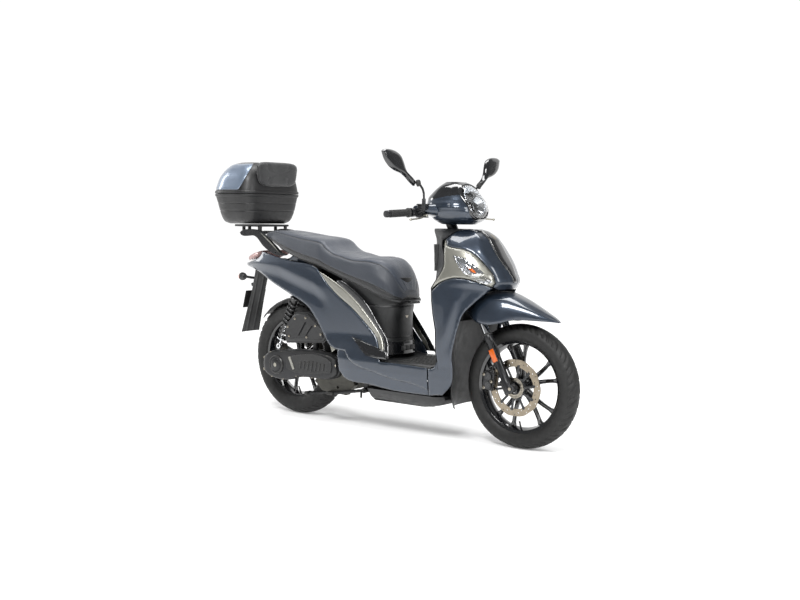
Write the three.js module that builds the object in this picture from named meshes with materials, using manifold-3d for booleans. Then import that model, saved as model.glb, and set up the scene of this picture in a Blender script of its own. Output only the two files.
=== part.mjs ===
// A step-through scooter on 16-inch wheels, built as separate solids in millimetres.
// X points forward, Y to the rider's left, Z up. The ground is Z = 0 and the bounding box is centred on X = 0.
import * as THREE from 'three';
import { mergeVertices } from 'three/addons/utils/BufferGeometryUtils.js';
import Module from 'manifold-3d';

const wasm = await Module();
wasm.setup();

// ---------------------------------------------------------------- driving dimensions
const WHEELBASE = 1355;            // axle to axle
const BODY_HALF_WIDTH = 198;       // widest half width of the leg shield
const WALL = 3.5;                  // moulded panel wall
const SEAM = 1.2;                  // gap between two neighbouring panels
const FIT = 0.4;                   // clearance of pieces that touch

const FRONT_TYRE_RADIUS = 283;
const FRONT_TYRE_WIDTH = 100;
const REAR_TYRE_RADIUS = 299;
const REAR_TYRE_WIDTH = 120;
const RIM_SEAT_RADIUS = 203;       // bead seat of a 16-inch rim
const RIM_FLANGE = 12;             // height of the rim flange over the bead seat
const SPOKE_PAIRS = 5;

const RAKE = THREE.MathUtils.degToRad(27);
const FORK_OFFSET = 33;            // front axle ahead of the steering axis
const LEG_AHEAD = 18;              // fork legs ahead of the steering axis
const LEG_Y = 90;                  // fork leg centre from the middle plane
const STANCHION_R = 16;
const SLIDER_R = 21;
const YOKE_REACH = 380;            // lower yoke above the axle, along the fork
const YOKE_HALF_HEIGHT = 16;

const FRONT_DISC_R = 130;
const FRONT_DISC_Y = -63;
const REAR_DISC_R = 110;
const REAR_DISC_Y = 78;
const DISC_THICKNESS = 4.5;
const CALIPER_SLOT = 8;            // slot in a caliper that the disc runs in

const BAR_R = 11;
const GRIP_R = 16.5;
const GRIP_LENGTH = 118;
const MIRROR_TILT = 0.12;

const SHOCK_Y = 134;
const SPRING_R = 27;
const DAMPER_R = 17;
const ROD_R = 6;

const BOX_LENGTH = 350;            // top box, front to back
const BOX_HALF_WIDTH = 216;
const BOX_FRONT = -867;            // front face of the top box
const BOX_FLOOR = 992;
const BOX_SEAM_Z = 1150;
const BOX_TOP = 1316;

// ---------------------------------------------------------------- layout derived from the driving dimensions
// Body outlines are drawn for this wheelbase and half width. The front part keeps its place to the front axle, the rear
// part to the rear axle, and the floor between them stretches.
const DRAWN_WHEELBASE = 1355;
const DRAWN_HALF_WIDTH = 198;
const FLOOR_REAR_X = -60;
const FLOOR_FRONT_X = 270;
const AXLE_SHIFT = (WHEELBASE - DRAWN_WHEELBASE) / 2;
const WIDE = BODY_HALF_WIDTH / DRAWN_HALF_WIDTH;

function along(x) {
  const share = (x - FLOOR_REAR_X) / (FLOOR_FRONT_X - FLOOR_REAR_X);
  return x + AXLE_SHIFT * (2 * Math.min(1, Math.max(0, share)) - 1);
}
const side = (y) => y * WIDE;
const drawn = (points) => points.map(([x, z]) => [along(x), z]);

const FRONT_AXLE = new THREE.Vector3(WHEELBASE / 2, 0, FRONT_TYRE_RADIUS);
const REAR_AXLE = new THREE.Vector3(-WHEELBASE / 2, 0, REAR_TYRE_RADIUS);
const FORK_UP = new THREE.Vector3(-Math.sin(RAKE), 0, Math.cos(RAKE));
const FORK_AHEAD = new THREE.Vector3(Math.cos(RAKE), 0, Math.sin(RAKE));
const LEFT = new THREE.Vector3(0, 1, 0);

// a point of the fork: up the fork from the axle, ahead of the steering axis, and to the left
function forkPoint(up, ahead, y = 0) {
  return FRONT_AXLE.clone()
    .addScaledVector(FORK_AHEAD, ahead - FORK_OFFSET)
    .addScaledVector(FORK_UP, up)
    .addScaledVector(LEFT, y);
}

// ---------------------------------------------------------------- shape helpers
const WELD = 1e-3;
const SMOOTHING = 0.3;             // faces flatter than this are merged

function solid(geometry) {
  const bare = geometry.clone();
  bare.deleteAttribute('normal');
  bare.deleteAttribute('uv');
  const merged = mergeVertices(bare, WELD);
  const index = merged.index.array;
  const kept = [];
  for (let i = 0; i < index.length; i += 3) {
    const [a, b, c] = [index[i], index[i + 1], index[i + 2]];
    if (a !== b && b !== c && c !== a) kept.push(a, b, c);
  }
  const vertProperties = new Float32Array(merged.attributes.position.array);
  return new wasm.Manifold(new wasm.Mesh({ numProp: 3, vertProperties, triVerts: new Uint32Array(kept) }));
}

function geometryOf(body) {
  const mesh = body.getMesh();
  const geometry = new THREE.BufferGeometry();
  geometry.setAttribute('position', new THREE.BufferAttribute(new Float32Array(mesh.vertProperties), 3));
  geometry.setIndex(new THREE.BufferAttribute(new Uint32Array(mesh.triVerts), 1));
  return geometry;
}

// the same solid on the other side of the middle plane
function mirrored(body) {
  const geometry = geometryOf(body);
  geometry.scale(1, -1, 1);
  const index = geometry.index.array;
  for (let i = 0; i < index.length; i += 3) [index[i], index[i + 1]] = [index[i + 1], index[i]];
  return solid(geometry);
}

const join = (first, ...others) => others.reduce((sum, next) => sum.add(next), first);
const cut = (first, ...others) => others.reduce((sum, next) => sum.subtract(next), first);

function prism(points, depth, basis, origin) {
  const shape = new THREE.Shape(points.map(([a, b]) => new THREE.Vector2(a, b)));
  const geometry = new THREE.ExtrudeGeometry(shape, { depth, bevelEnabled: false, steps: 1 });
  geometry.applyMatrix4(basis.clone().setPosition(origin));
  return solid(geometry);
}

const SIDE_BASIS = new THREE.Matrix4().makeBasis(
  new THREE.Vector3(1, 0, 0), new THREE.Vector3(0, 0, 1), new THREE.Vector3(0, -1, 0));
const FRONT_BASIS = new THREE.Matrix4().makeBasis(
  new THREE.Vector3(0, 1, 0), new THREE.Vector3(0, 0, 1), new THREE.Vector3(1, 0, 0));
const sidePrism = (xz, y0, y1) => prism(xz, y1 - y0, SIDE_BASIS, new THREE.Vector3(0, y1, 0));
const frontPrism = (yz, x0, x1) => prism(yz, x1 - x0, FRONT_BASIS, new THREE.Vector3(x0, 0, 0));
const planPrism = (xy, z0, z1) => prism(xy, z1 - z0, new THREE.Matrix4(), new THREE.Vector3(0, 0, z0));

function box(x0, x1, y0, y1, z0, z1) {
  const geometry = new THREE.BoxGeometry(x1 - x0, y1 - y0, z1 - z0);
  geometry.translate((x0 + x1) / 2, (y0 + y1) / 2, (z0 + z1) / 2);
  return solid(geometry);
}

// turns a geometry made about its own +Y axis so that +Y runs along a direction, and moves it to a point
function aimed(geometry, point, direction) {
  const turn = new THREE.Quaternion().setFromUnitVectors(LEFT, direction.clone().normalize());
  geometry.applyQuaternion(turn);
  geometry.translate(point.x, point.y, point.z);
  return solid(geometry);
}

function rod(from, to, radius, sides = 12, endRadius = radius) {
  const direction = to.clone().sub(from);
  const geometry = new THREE.CylinderGeometry(endRadius, radius, direction.length(), sides);
  return aimed(geometry, from.clone().add(to).multiplyScalar(0.5), direction);
}

// a round bar across the machine, from y0 to y1
function crossRod(x, z, y0, y1, radius, sides = 12) {
  return rod(new THREE.Vector3(x, y0, z), new THREE.Vector3(x, y1, z), radius, sides);
}

function signedArea(points) {
  return points.reduce((sum, [x, y], i) => {
    const [u, v] = points[(i + 1) % points.length];
    return sum + (x * v - u * y) / 2;
  }, 0);
}

// a hollow round sleeve, its wall given as [radius, height] points around a closed profile
function turned(outline, point, direction, segments = 24) {
  const profile = signedArea(outline) > 0 ? outline : outline.slice().reverse();
  const points = [...profile, profile[0]].map(([r, h]) => new THREE.Vector2(r, h));
  return aimed(new THREE.LatheGeometry(points, segments), point, direction);
}

const ringProfile = (inner, outer, low, high) => [[inner, low], [outer, low], [outer, high], [inner, high]];

function bentTube(points, radius, steps, sides = 8) {
  const path = new THREE.CatmullRomCurve3(points.map((p) => new THREE.Vector3(...p)), false, 'centripetal');
  const section = new THREE.Shape();
  section.absarc(0, 0, radius, 0, 2 * Math.PI);
  const settings = { steps, extrudePath: path, curveSegments: sides / 2, bevelEnabled: false };
  return solid(new THREE.ExtrudeGeometry(section, settings));
}

function newellNormal(ring) {
  const normal = new THREE.Vector3();
  ring.forEach((p, i) => {
    const q = ring[(i + 1) % ring.length];
    normal.x += (p.y - q.y) * (p.z + q.z);
    normal.y += (p.z - q.z) * (p.x + q.x);
    normal.z += (p.x - q.x) * (p.y + q.y);
  });
  return normal.normalize();
}

const middleOf = (ring) => ring.reduce((sum, p) => sum.add(p), new THREE.Vector3()).divideScalar(ring.length);

function capFaces(ring, offset, outward) {
  const normal = newellNormal(ring);
  const across = ring[0].clone().sub(middleOf(ring)).projectOnPlane(normal).normalize();
  const upward = normal.clone().cross(across);
  const flat = ring.map((p) => new THREE.Vector2(p.dot(across), p.dot(upward)));
  const flip = normal.dot(outward) < 0;
  return THREE.ShapeUtils.triangulateShape(flat, []).flatMap(([a, b, c]) => {
    const area = flat[b].clone().sub(flat[a]).cross(flat[c].clone().sub(flat[a]));
    return (area > 0) !== flip ? [offset + a, offset + b, offset + c] : [offset + a, offset + c, offset + b];
  });
}

// a closed solid through a row of rings that have the same number of points
function loft(rings) {
  const count = rings[0].length;
  const forward = middleOf(rings[rings.length - 1]).sub(middleOf(rings[0])).normalize();
  const turnedRight = newellNormal(rings[0]).dot(forward) > 0;
  const faces = capFaces(rings[0], 0, forward.clone().negate());
  faces.push(...capFaces(rings[rings.length - 1], count * (rings.length - 1), forward));
  for (let r = 0; r + 1 < rings.length; r += 1) {
    for (let i = 0; i < count; i += 1) {
      const [a, b] = [r * count + i, r * count + ((i + 1) % count)];
      const quad = [a, b, b + count, a, b + count, a + count];
      faces.push(...(turnedRight ? quad : quad.reverse()));
    }
  }
  const geometry = new THREE.BufferGeometry();
  geometry.setFromPoints(rings.flat());
  geometry.setIndex(faces);
  return solid(geometry);
}

// a sheet of even wall between two grids of points, rows of equal length
function sheet(outer, inner) {
  return loft(outer.map((row, r) => [...row, ...inner[r].slice().reverse()]));
}

// linear value in a table of rows, found by the first column
function looked(table, key, column) {
  const last = table.length - 1;
  if (key <= table[0][0]) return table[0][column];
  for (let i = 0; i < last; i += 1) {
    const [low, high] = [table[i], table[i + 1]];
    if (key <= high[0]) return low[column] + ((high[column] - low[column]) * (key - low[0])) / (high[0] - low[0]);
  }
  return table[last][column];
}

// an outline grown outward by a distance, for the seam next to a panel
function grown(points, distance) {
  const sign = Math.sign(signedArea(points));
  return points.map((p, i) => {
    const before = points[(i + points.length - 1) % points.length];
    const after = points[(i + 1) % points.length];
    const inDir = new THREE.Vector2(p[0] - before[0], p[1] - before[1]).normalize();
    const outDir = new THREE.Vector2(after[0] - p[0], after[1] - p[1]).normalize();
    const bisector = new THREE.Vector2(inDir.y + outDir.y, -inDir.x - outDir.x).normalize();
    const stretch = Math.max(0.4, bisector.x * inDir.y - bisector.y * inDir.x);
    return [p[0] + (sign * distance * bisector.x) / stretch, p[1] + (sign * distance * bisector.y) / stretch];
  });
}

const smooth = (t) => {
  const s = Math.min(1, Math.max(0, t));
  return s * s * (3 - 2 * s);
};

const FAR = 400;                   // reach of a cutting prism past the middle plane

// ---------------------------------------------------------------- the part list that each section adds to
const finishes = {
  paint: { color: 0x3d4a5c, roughness: 0.3, metalness: 0.5 },
  silver: { color: 0xa9a79c, roughness: 0.4, metalness: 0.5 },
  black: { color: 0x1f2022, roughness: 0.5, metalness: 0.1 },
  gloss: { color: 0x141517, roughness: 0.2, metalness: 0.2 },
  olive: { color: 0x4a4b45, roughness: 0.6, metalness: 0.2 },
  rubber: { color: 0x232425, roughness: 0.85, metalness: 0 },
  vinyl: { color: 0x465060, roughness: 0.6, metalness: 0 },
  steel: { color: 0xb8b4aa, roughness: 0.35, metalness: 0.9 },
  chrome: { color: 0xd8d8d8, roughness: 0.12, metalness: 1 },
  frame: { color: 0x2a2b2d, roughness: 0.45, metalness: 0.4 },
  lens: { color: 0xdfe3e6, roughness: 0.1, metalness: 0 },
};

const scooter = new THREE.Group();
const parts = {};

function add(name, body, finish) {
  const mesh = new THREE.Mesh(geometryOf(body.simplify(SMOOTHING)),
    new THREE.MeshStandardMaterial(finishes[finish]));
  mesh.name = name;
  scooter.add(mesh);
  parts[name] = body;
}

function addPair(name, right, finish) {
  add(`${name}_right`, right, finish);
  add(`${name}_left`, mirrored(right), finish);
}

// ---------------------------------------------------------------- front body shell
// height, back centre, rear corner, half width, nose
const FRONT_LEVELS = [
  [346, 305, 345, 195, 590], [427, 292, 330, 198, 605], [525, 284, 327, 197, 618], [600, 280, 311, 196, 614],
  [660, 276, 302, 194, 610], [719, 270, 297, 190, 612], [751, 267, 318, 187, 626], [790, 262, 342, 179, 610],
  [823, 259, 354, 173, 592], [869, 254, 345, 162, 559], [905, 247, 326, 149, 536], [926, 241, 317, 136, 522],
  [941, 233, 309, 124, 512], [965, 212, 296, 102, 478], [974, 202, 286, 88, 458], [985, 190, 270, 58, 396],
];
const FRONT_ARC_STEPS = 12;
const BACK_STEPS = 6;

function frontRing(z, inset, level = z) {
  const back = along(looked(FRONT_LEVELS, level, 1)) + inset;
  const corner = along(looked(FRONT_LEVELS, level, 2)) + 1.4 * inset;
  const half = side(looked(FRONT_LEVELS, level, 3)) - inset;
  const nose = along(looked(FRONT_LEVELS, level, 4)) - inset;
  const ring = [];
  for (let i = 0; i <= FRONT_ARC_STEPS; i += 1) {
    const angle = Math.PI * (i / FRONT_ARC_STEPS - 0.5);
    const reach = Math.cbrt(Math.max(0, Math.cos(angle)) ** 2);
    ring.push(new THREE.Vector3(corner + (nose - corner) * reach, half * Math.sin(angle), z));
  }
  for (let i = 1; i < BACK_STEPS; i += 1) {
    const across = 1 - (2 * i) / BACK_STEPS;
    ring.push(new THREE.Vector3(corner - (corner - back) * (1 - across ** 4), half * across, z));
  }
  return ring;
}

function frontVolume(inset) {
  const heights = FRONT_LEVELS.map((row) => row[0]);
  const rings = heights.map((z, i) => {
    const atTop = i === heights.length - 1;
    const shifted = atTop ? z - inset : i === 0 ? z - Math.sign(inset) * 2 * Math.abs(inset) : z;
    return frontRing(shifted, inset, z);
  });
  return loft(rings);
}

const NOSE_OUTLINE = drawn([
  [386, 1004], [318, 936], [336, 905], [372, 902], [428, 900], [487, 878], [545, 828], [582, 780], [592, 750],
  [580, 728], [592, 716], [760, 716], [760, 1004],
]);
const TRIM_OUTLINE = drawn([
  [200, 1004], [200, 690], [296, 713], [348, 746], [404, 766], [450, 768], [500, 761], [545, 744], [582, 724],
  [640, 724], [640, 1004],
]);
const APRON_OUTLINE = drawn([
  [286, 219], [286, 346], [200, 346], [200, 712], [296, 730], [348, 760], [404, 780], [450, 782], [500, 775],
  [560, 750], [586, 723], [548, 694], [508, 652], [468, 607], [443, 533], [428, 470], [419, 419], [422, 356],
  [418, 291], [366, 230],
]);
const cornerLine = FRONT_LEVELS.filter((row) => row[0] <= 926).map((row) => [row[2], row[0]]);
const INNER_OUTLINE = drawn([
  [100, 346], ...cornerLine, [318, 936], [386, 1004], [100, 1004],
]);

const NECK_BORE_R = 36;
const HEAD_TOP_REACH = 735;        // top of the steering head above the axle, along the fork
const steeringLine = (up) => forkPoint(up, 0);

const DOOR = { y0: -120, y1: -38, z0: 792, z1: 914 };
const DOOR_LAP = 8;
const DOOR_PROUD = 11;
const POCKET_DEPTH = 78;

const frontShell = cut(frontVolume(0), frontVolume(WALL));
const sidePrismBoth = (outline) => sidePrism(outline, -FAR, FAR);

function rightHalf(body) {
  return body.intersect(box(-3000, 3000, -FAR, -FIT, -100, 2000));
}

// half width of the rear body and the floor sides at a drawn place
const TAIL_WIDTHS = [
  [-1052, 14], [-1040, 42], [-1005, 78], [-930, 115], [-850, 135], [-640, 154], [-430, 162], [-200, 160],
  [345, 156],
];
const FLOOR_FLARE = 38;

function bodySide(x, z) {
  const low = smooth((470 - z) / 130) * smooth((x + 480) / 300);
  const undercut = Math.max(0, 300 - z) * 0.12;
  const tuck = Math.max(0, z - 790) * 0.25;
  const toe = Math.max(0, x - 345) ** 2 * 6e-4;
  return Math.max(8, looked(TAIL_WIDTHS, x, 1) + FLOOR_FLARE * low - undercut - tuck - toe);
}

function bodySheet(xs, zs, wall = WALL, proud = 0) {
  const rowAt = (x, depth) => zs.map((z) => {
    const step = 2;
    const slopeX = (bodySide(x + step, z) - bodySide(x - step, z)) / (2 * step);
    const slopeZ = (bodySide(x, z + step) - bodySide(x, z - step)) / (2 * step);
    const normal = new THREE.Vector3(-slopeX, 1, -slopeZ).normalize().multiplyScalar(proud - depth);
    return new THREE.Vector3(along(x) + normal.x, -side(bodySide(x, z)) - normal.y, z + normal.z);
  });
  return sheet(xs.map((x) => rowAt(x, 0)), xs.map((x) => rowAt(x, wall)));
}

const spread = (from, to, count) => Array.from({ length: count + 1 },
  (_, i) => from + ((to - from) * i) / count);
const TAIL_XS = [-1052, -1040, -1005, -930, -850, -745, -640, ...spread(-480, -180, 5), -60, 280];
const TAIL_ZS = [212, 262, 300, 340, 366, 392, 420, 450, 470, 790, 872];
const rightSheet = bodySheet(TAIL_XS, TAIL_ZS);

function panel(outline, ...neighbours) {
  const body = rightSheet.intersect(sidePrism(outline, -FAR, 0));
  return cut(body, ...neighbours.map((next) => sidePrism(grown(next, SEAM), -FAR, 0)));
}

const SIDE_OUTLINE = drawn([
  [-1054, 776], [-940, 792], [-868, 818], [-848, 852], [-640, 812], [-431, 779], [-405, 762], [-300, 734],
  [-185, 690], [-128, 648], [-75, 598], [-30, 548], [10, 486], [41, 424], [45, 371], [145, 351], [282, 345],
  [282, 219], [92, 219], [-72, 234], [-208, 246], [-258, 282], [-276, 382], [-330, 398], [-366, 431],
  [-420, 507],
  [-493, 584], [-604, 632], [-756, 693], [-874, 744], [-1000, 768],
]);
const LEAF_OUTLINE = drawn([[-166, 437], [-120, 404], [-78, 376], [-40, 373], [-2, 372], [-4, 412],
  [-60, 422], [-110, 431]]);

function frontBody() {
  const nose = frontShell.intersect(sidePrismBoth(NOSE_OUTLINE));
  add('nose_cover', nose, 'paint');

  const trim = rightHalf(frontShell.intersect(sidePrismBoth(TRIM_OUTLINE)))
    .subtract(sidePrismBoth(grown(NOSE_OUTLINE, SEAM)))
    .subtract(sidePrismBoth(grown(INNER_OUTLINE, SEAM)));
  addPair('shield_trim', trim, 'silver');

  const upper = rightHalf(frontShell).intersect(box(-900, 900, -FAR, 0, 346 + FIT, 900));
  const floorCorner = bodySheet([270, 300, 345, 380, 410, 440], [216, 245, 275, 305, 330, 349]);
  const apron = upper.add(floorCorner).intersect(sidePrismBoth(APRON_OUTLINE))
    .subtract(sidePrismBoth(grown(TRIM_OUTLINE, SEAM)))
    .subtract(sidePrismBoth(grown(NOSE_OUTLINE, SEAM)))
    .subtract(sidePrismBoth(grown(INNER_OUTLINE, SEAM)));
  addPair('apron', apron, 'paint');

  const neckBore = rod(steeringLine(HEAD_TOP_REACH - 80), steeringLine(HEAD_TOP_REACH + 160), NECK_BORE_R,
    20);
  const doorway = frontPrism(
    [[DOOR.y0 + DOOR_LAP, DOOR.z0 + DOOR_LAP], [DOOR.y1 - DOOR_LAP, DOOR.z0 + DOOR_LAP],
      [DOOR.y1 - DOOR_LAP, DOOR.z1 - DOOR_LAP],
      [DOOR.y0 + DOOR_LAP, DOOR.z1 - DOOR_LAP]].map(([y, z]) => [side(y), z]),
    along(150), along(290));
  const lap = DOOR_LAP - WALL;
  const pocketFront = along(252) + POCKET_DEPTH;
  const pocket = box(along(256), pocketFront, side(DOOR.y0 + lap), side(DOOR.y1 - lap), DOOR.z0 + lap,
    DOOR.z1 - lap);
  const pocketRoom = box(along(200), pocketFront - WALL, side(DOOR.y0 + DOOR_LAP), side(DOOR.y1 - DOOR_LAP),
    DOOR.z0 + DOOR_LAP, DOOR.z1 - DOOR_LAP);
  const pocketBehind = pocket.intersect(frontVolume(WALL / 2));
  const lockHole = rod(new THREE.Vector3(along(150), side(60), 925),
    new THREE.Vector3(along(290), side(60), 925), 12, 16);
  const inner = frontShell.intersect(sidePrismBoth(INNER_OUTLINE)).add(pocketBehind);
  add('inner_shield', cut(inner, neckBore, doorway, pocketRoom, lockHole), 'black');

  const doorRing = frontVolume(-DOOR_PROUD).subtract(frontVolume(-SEAM));
  const doorEdge = [[DOOR.y0, DOOR.z0], [DOOR.y1, DOOR.z0], [DOOR.y1, DOOR.z1], [DOOR.y0, DOOR.z1]];
  add('glovebox_door', doorRing.intersect(frontPrism(doorEdge.map(([y, z]) => [side(y), z]), along(150),
    along(300))), 'black');

  const keyAt = new THREE.Vector3(along(251), side(60), 925);
  const keyEnd = keyAt.clone().add(new THREE.Vector3(-34, 0, 0));
  const bow = box(keyEnd.x - 18, keyEnd.x + 2, keyEnd.y - 2, keyEnd.y + 2, keyEnd.z - 11, keyEnd.z + 11);
  add('ignition_key', rod(keyAt, keyEnd, 8, 12).add(bow), 'black');
}

// ---------------------------------------------------------------- wheel well, floor and belly
const WELL_ROWS = [[166, 350], [230, 351], [330, 351], [430, 350], [500, 354], [560, 366]];
const WELL_HALF_WIDTH = 184;

function wheelWell() {
  const columns = spread(-1, 1, 12);
  const rowAt = ([z, x], depth) => columns.map((t) => {
    const flare = 64 * Math.abs(t) ** 3;
    const half = side(looked([[166, 150], [230, 178], [430, WELL_HALF_WIDTH], [560, WELL_HALF_WIDTH - 2]],
      z, 1));
    return new THREE.Vector3(along(x) + flare - depth, half * t, z);
  });
  add('wheel_well', sheet(WELL_ROWS.map((row) => rowAt(row, 0)),
    WELL_ROWS.map((row) => rowAt(row, WALL))), 'black');
}

function floorboard() {
  const half = (x) => side(bodySide(x, 364)) - WALL - 2 * SEAM;
  const xs = [-54, 0, 60, 120, 200, 296];
  const top = (x) => (x < 40 ? 352 + (40 - x) * 0.1 : 352);
  const rings = xs.map((x) => [
    [-half(x), 334], [half(x), 334], [half(x), top(x) - 4], [half(x) - 8, top(x) - 4],
    [half(x) - 8, top(x)], [-half(x) + 8, top(x)], [-half(x) + 8, top(x) - 4], [-half(x), top(x) - 4],
  ].map(([y, z]) => new THREE.Vector3(along(x), y, z)));
  add('floorboard', loft(rings), 'rubber');
}

const BELLY_LEVELS = [[150, -112, 250, 122], [172, -114, 330, 150], [196, -115, 346, 168],
  [214, -115, 346, 176]];

function bellyPan() {
  const ringAt = ([z, rear, front, half], inset) => {
    const [r, f, h] = [along(rear) + inset, along(front) - inset, side(half) - inset];
    const bevel = 34;
    return [[r, -h + bevel], [r + bevel, -h], [f - bevel, -h], [f, -h + bevel], [f, h - bevel],
      [f - bevel, h],
      [r + bevel, h], [r, h - bevel]].map(([x, y]) => new THREE.Vector3(x, y, z));
  };
  const outer = loft(BELLY_LEVELS.map((row) => ringAt(row, 0)));
  const inner = loft(BELLY_LEVELS.map(([z, ...rest], i) => ringAt([z + (i === 0 ? WALL : 2), ...rest],
    WALL)));
  add('belly_pan', cut(outer, inner), 'black');
}

// ---------------------------------------------------------------- rear body
const UNDERSEAT_LEVELS = [[430, 20, 156], [500, 16, 150], [560, 18, 144], [616, 28, 140], [770, 20, 140]];
const BASE_BAND_Z = 374;

function underseatRing(z, inset, level = z) {
  const front = along(looked(UNDERSEAT_LEVELS, level, 1)) - inset;
  const half = side(looked(UNDERSEAT_LEVELS, level, 2)) - inset;
  const rear = along(-436);
  const steps = 14;
  const ring = [];
  for (let i = 0; i <= steps; i += 1) {
    const angle = Math.PI * (i / steps - 0.5);
    const reach = Math.max(0, Math.cos(angle)) ** 0.36;
    const bulge = Math.sign(Math.sin(angle)) * Math.abs(Math.sin(angle)) ** 0.9;
    ring.push(new THREE.Vector3(rear + (front - rear) * reach, half * bulge, z));
  }
  return ring;
}

function underseatShell(low, high, wall) {
  const levels = [low, ...UNDERSEAT_LEVELS.map((row) => row[0]).filter((z) => z > low + 5 && z < high - 5), high];
  const outer = loft(levels.map((z) => underseatRing(z, 0)));
  const inner = loft(levels.map((z,
    i) => underseatRing(i === 0 ? z - 4 : i === levels.length - 1 ? z + 4 : z, wall, z)));
  return cut(outer, inner).subtract(box(along(-900), along(-432), -FAR, FAR, 0, 1500));
}

const UNDERSEAT_OUTLINE = drawn([
  [-400, 758], [-300, 726], [-197, 690], [-89, 655], [30, 616], [80, 610], [80, 431], [-200, 431],
  [-500, 500],
  [-500, 770],
]);
const BELOW_ACCENT = drawn([
  [-420, 764], [-405, 764], [-300, 736], [-185, 692], [-150, 664], [-120, 600], [-100, 520], [-92, 300],
  [-600, 300], [-600, 764],
]);

function rearBody() {
  addPair('side_panel', panel(SIDE_OUTLINE), 'paint');

  const leafRoom = bodySheet([-190, -120, -60, 0, 30], [360, 385, 410, 450], 8, 9.4);
  addPair('footrest', leafRoom.intersect(sidePrismBoth(LEAF_OUTLINE)), 'gloss');

  const cover = underseatShell(431, 770, WALL).intersect(sidePrismBoth(UNDERSEAT_OUTLINE))
    .subtract(sidePrismBoth(BELOW_ACCENT));

  const bandOuter = loft([BASE_BAND_Z, 436].map((z) => underseatRing(z, -2, 430)));
  const bandInner = loft([BASE_BAND_Z - 2, 438].map((z) => underseatRing(z, WALL - 2, 430)));
  const slot = (y) => box(along(0), along(60), side(y - 16), side(y + 16), 392, 416);
  const band = cut(bandOuter, bandInner, box(along(-900), along(-60), -FAR, FAR, 300, 500), slot(-36),
    slot(0), slot(36))
    .subtract(sidePrismBoth(drawn([[-200, 300], [46 + SEAM, 300], [46 + SEAM, 428], [-200, 500]])).subtract(
      box(-900, 900, side(-118), side(118), 200, 600)));
  add('underseat_cover', cover.add(band), 'black');
}

const TAIL_TOP = [[-1044, 18, 786, 792], [-1000, 72, 793, 818], [-940, 104, 800, 840], [-884, 118, 820, 852]];

function tail() {
  const rings = TAIL_TOP.map(([x, half, low, high]) => {
    const [h, mid] = [side(half), (low + high) / 2];
    return [[-h, low + 1], [h, low + 1], [h, mid], [h * 0.8, high], [-h * 0.8, high], [-h, mid]]
      .map(([y, z]) => new THREE.Vector3(along(x), y, z));
  });
  add('tail_light', loft(rings), 'lens');
}

const TUB_OUTER = drawn([[-628, 778], [-628, 706], [-440, 672], [-350, 500], [-334, 486], [-110, 486],
  [-88, 500], [-74, 640]]);
const TUB_INNER = drawn([[-624, 900], [-624, 710], [-437, 676], [-347, 503], [-332, 490], [-112, 490],
  [-92, 503], [-78, 900]]);
const TUB_HALF_WIDTH = 114;

function storageTub() {
  const half = side(TUB_HALF_WIDTH);
  const outer = sidePrism(TUB_OUTER, -half, half);
  add('storage_tub', cut(outer, sidePrism(TUB_INNER, -half + WALL, half - WALL)), 'black');
}

function grabRail() {
  const arm = sidePrism(drawn([
    [-1086, 944], [-1040, 958], [-880, 962], [-852, 954], [-806, 922], [-752, 884], [-702, 846], [-668, 834],
    [-700, 830], [-748, 836], [-824, 876], [-884, 926], [-1060, 932],
  ]), side(-140), side(-114));
  const plate = box(along(-1072), along(-872), side(-120), side(120), 940, 952);
  const slot = (x, half) => box(along(x - 30), along(x + 30), side(-half), side(half), 930, 960);
  const stay = rod(new THREE.Vector3(along(-690), side(-127), 836),
    new THREE.Vector3(along(-690), side(-127), 790), 9, 10);
  const all = join(arm, mirrored(arm), plate, stay, mirrored(stay));
  const base = box(along(-1100), along(-878), side(-132), side(132), 976, 988);
  const post = (x, y) => rod(new THREE.Vector3(along(x), side(y), 946),
    new THREE.Vector3(along(x), side(y), 980), 9, 12);
  const posts = [[-1046, 62], [-966, 98], [-892, 98]].flatMap(([x, y]) => [post(x, y), post(x, -y)]);
  const halfPlan = [[-600, 150], [-940, 150], [-985, 138], [-1025, 116], [-1056, 84], [-1078, 44], [-1087, 0]];
  const plan = [...halfPlan, ...halfPlan.slice(0, -1).reverse().map(([x, y]) => [x, -y])];
  const rounded = planPrism(plan.map(([x, y]) => [along(x), side(y)]), 700, 1000);
  const rail = join(cut(all, slot(-1008, 60), slot(-920, 84)), base, ...posts);
  add('grab_rail', rail.intersect(rounded), 'black');
}

function rearMudguard() {
  const outline = drawn([
    [-880, 712], [-966, 706], [-1036, 682], [-1040, 668], [-1000, 655], [-1030, 560], [-1078, 430],
    [-1138, 360],
    [-1140, 340], [-1112, 328], [-1004, 366], [-1000, 400], [-990, 470], [-950, 545], [-905, 610],
    [-880, 650],
  ]);
  const hollow = drawn([
    [-890, 730], [-966, 703], [-996, 655], [-1026, 561], [-1074, 432], [-1120, 366], [-1010, 386],
    [-994, 472],
    [-953, 548], [-890, 640],
  ]);
  const [outerHalf, innerHalf] = [side(84), side(84) - WALL];
  const body = cut(sidePrism(outline, -outerHalf, outerHalf), sidePrism(hollow, -innerHalf, innerHalf));
  const taper = frontPrism([[side(-84), 720], [side(-84), 640], [side(-66), 470], [side(-84), 320],
    [side(84), 320],
    [side(66), 470], [side(84), 640], [side(84), 720]], -1400 - AXLE_SHIFT, -600);
  add('rear_mudguard', body.intersect(taper), 'black');
}

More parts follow.
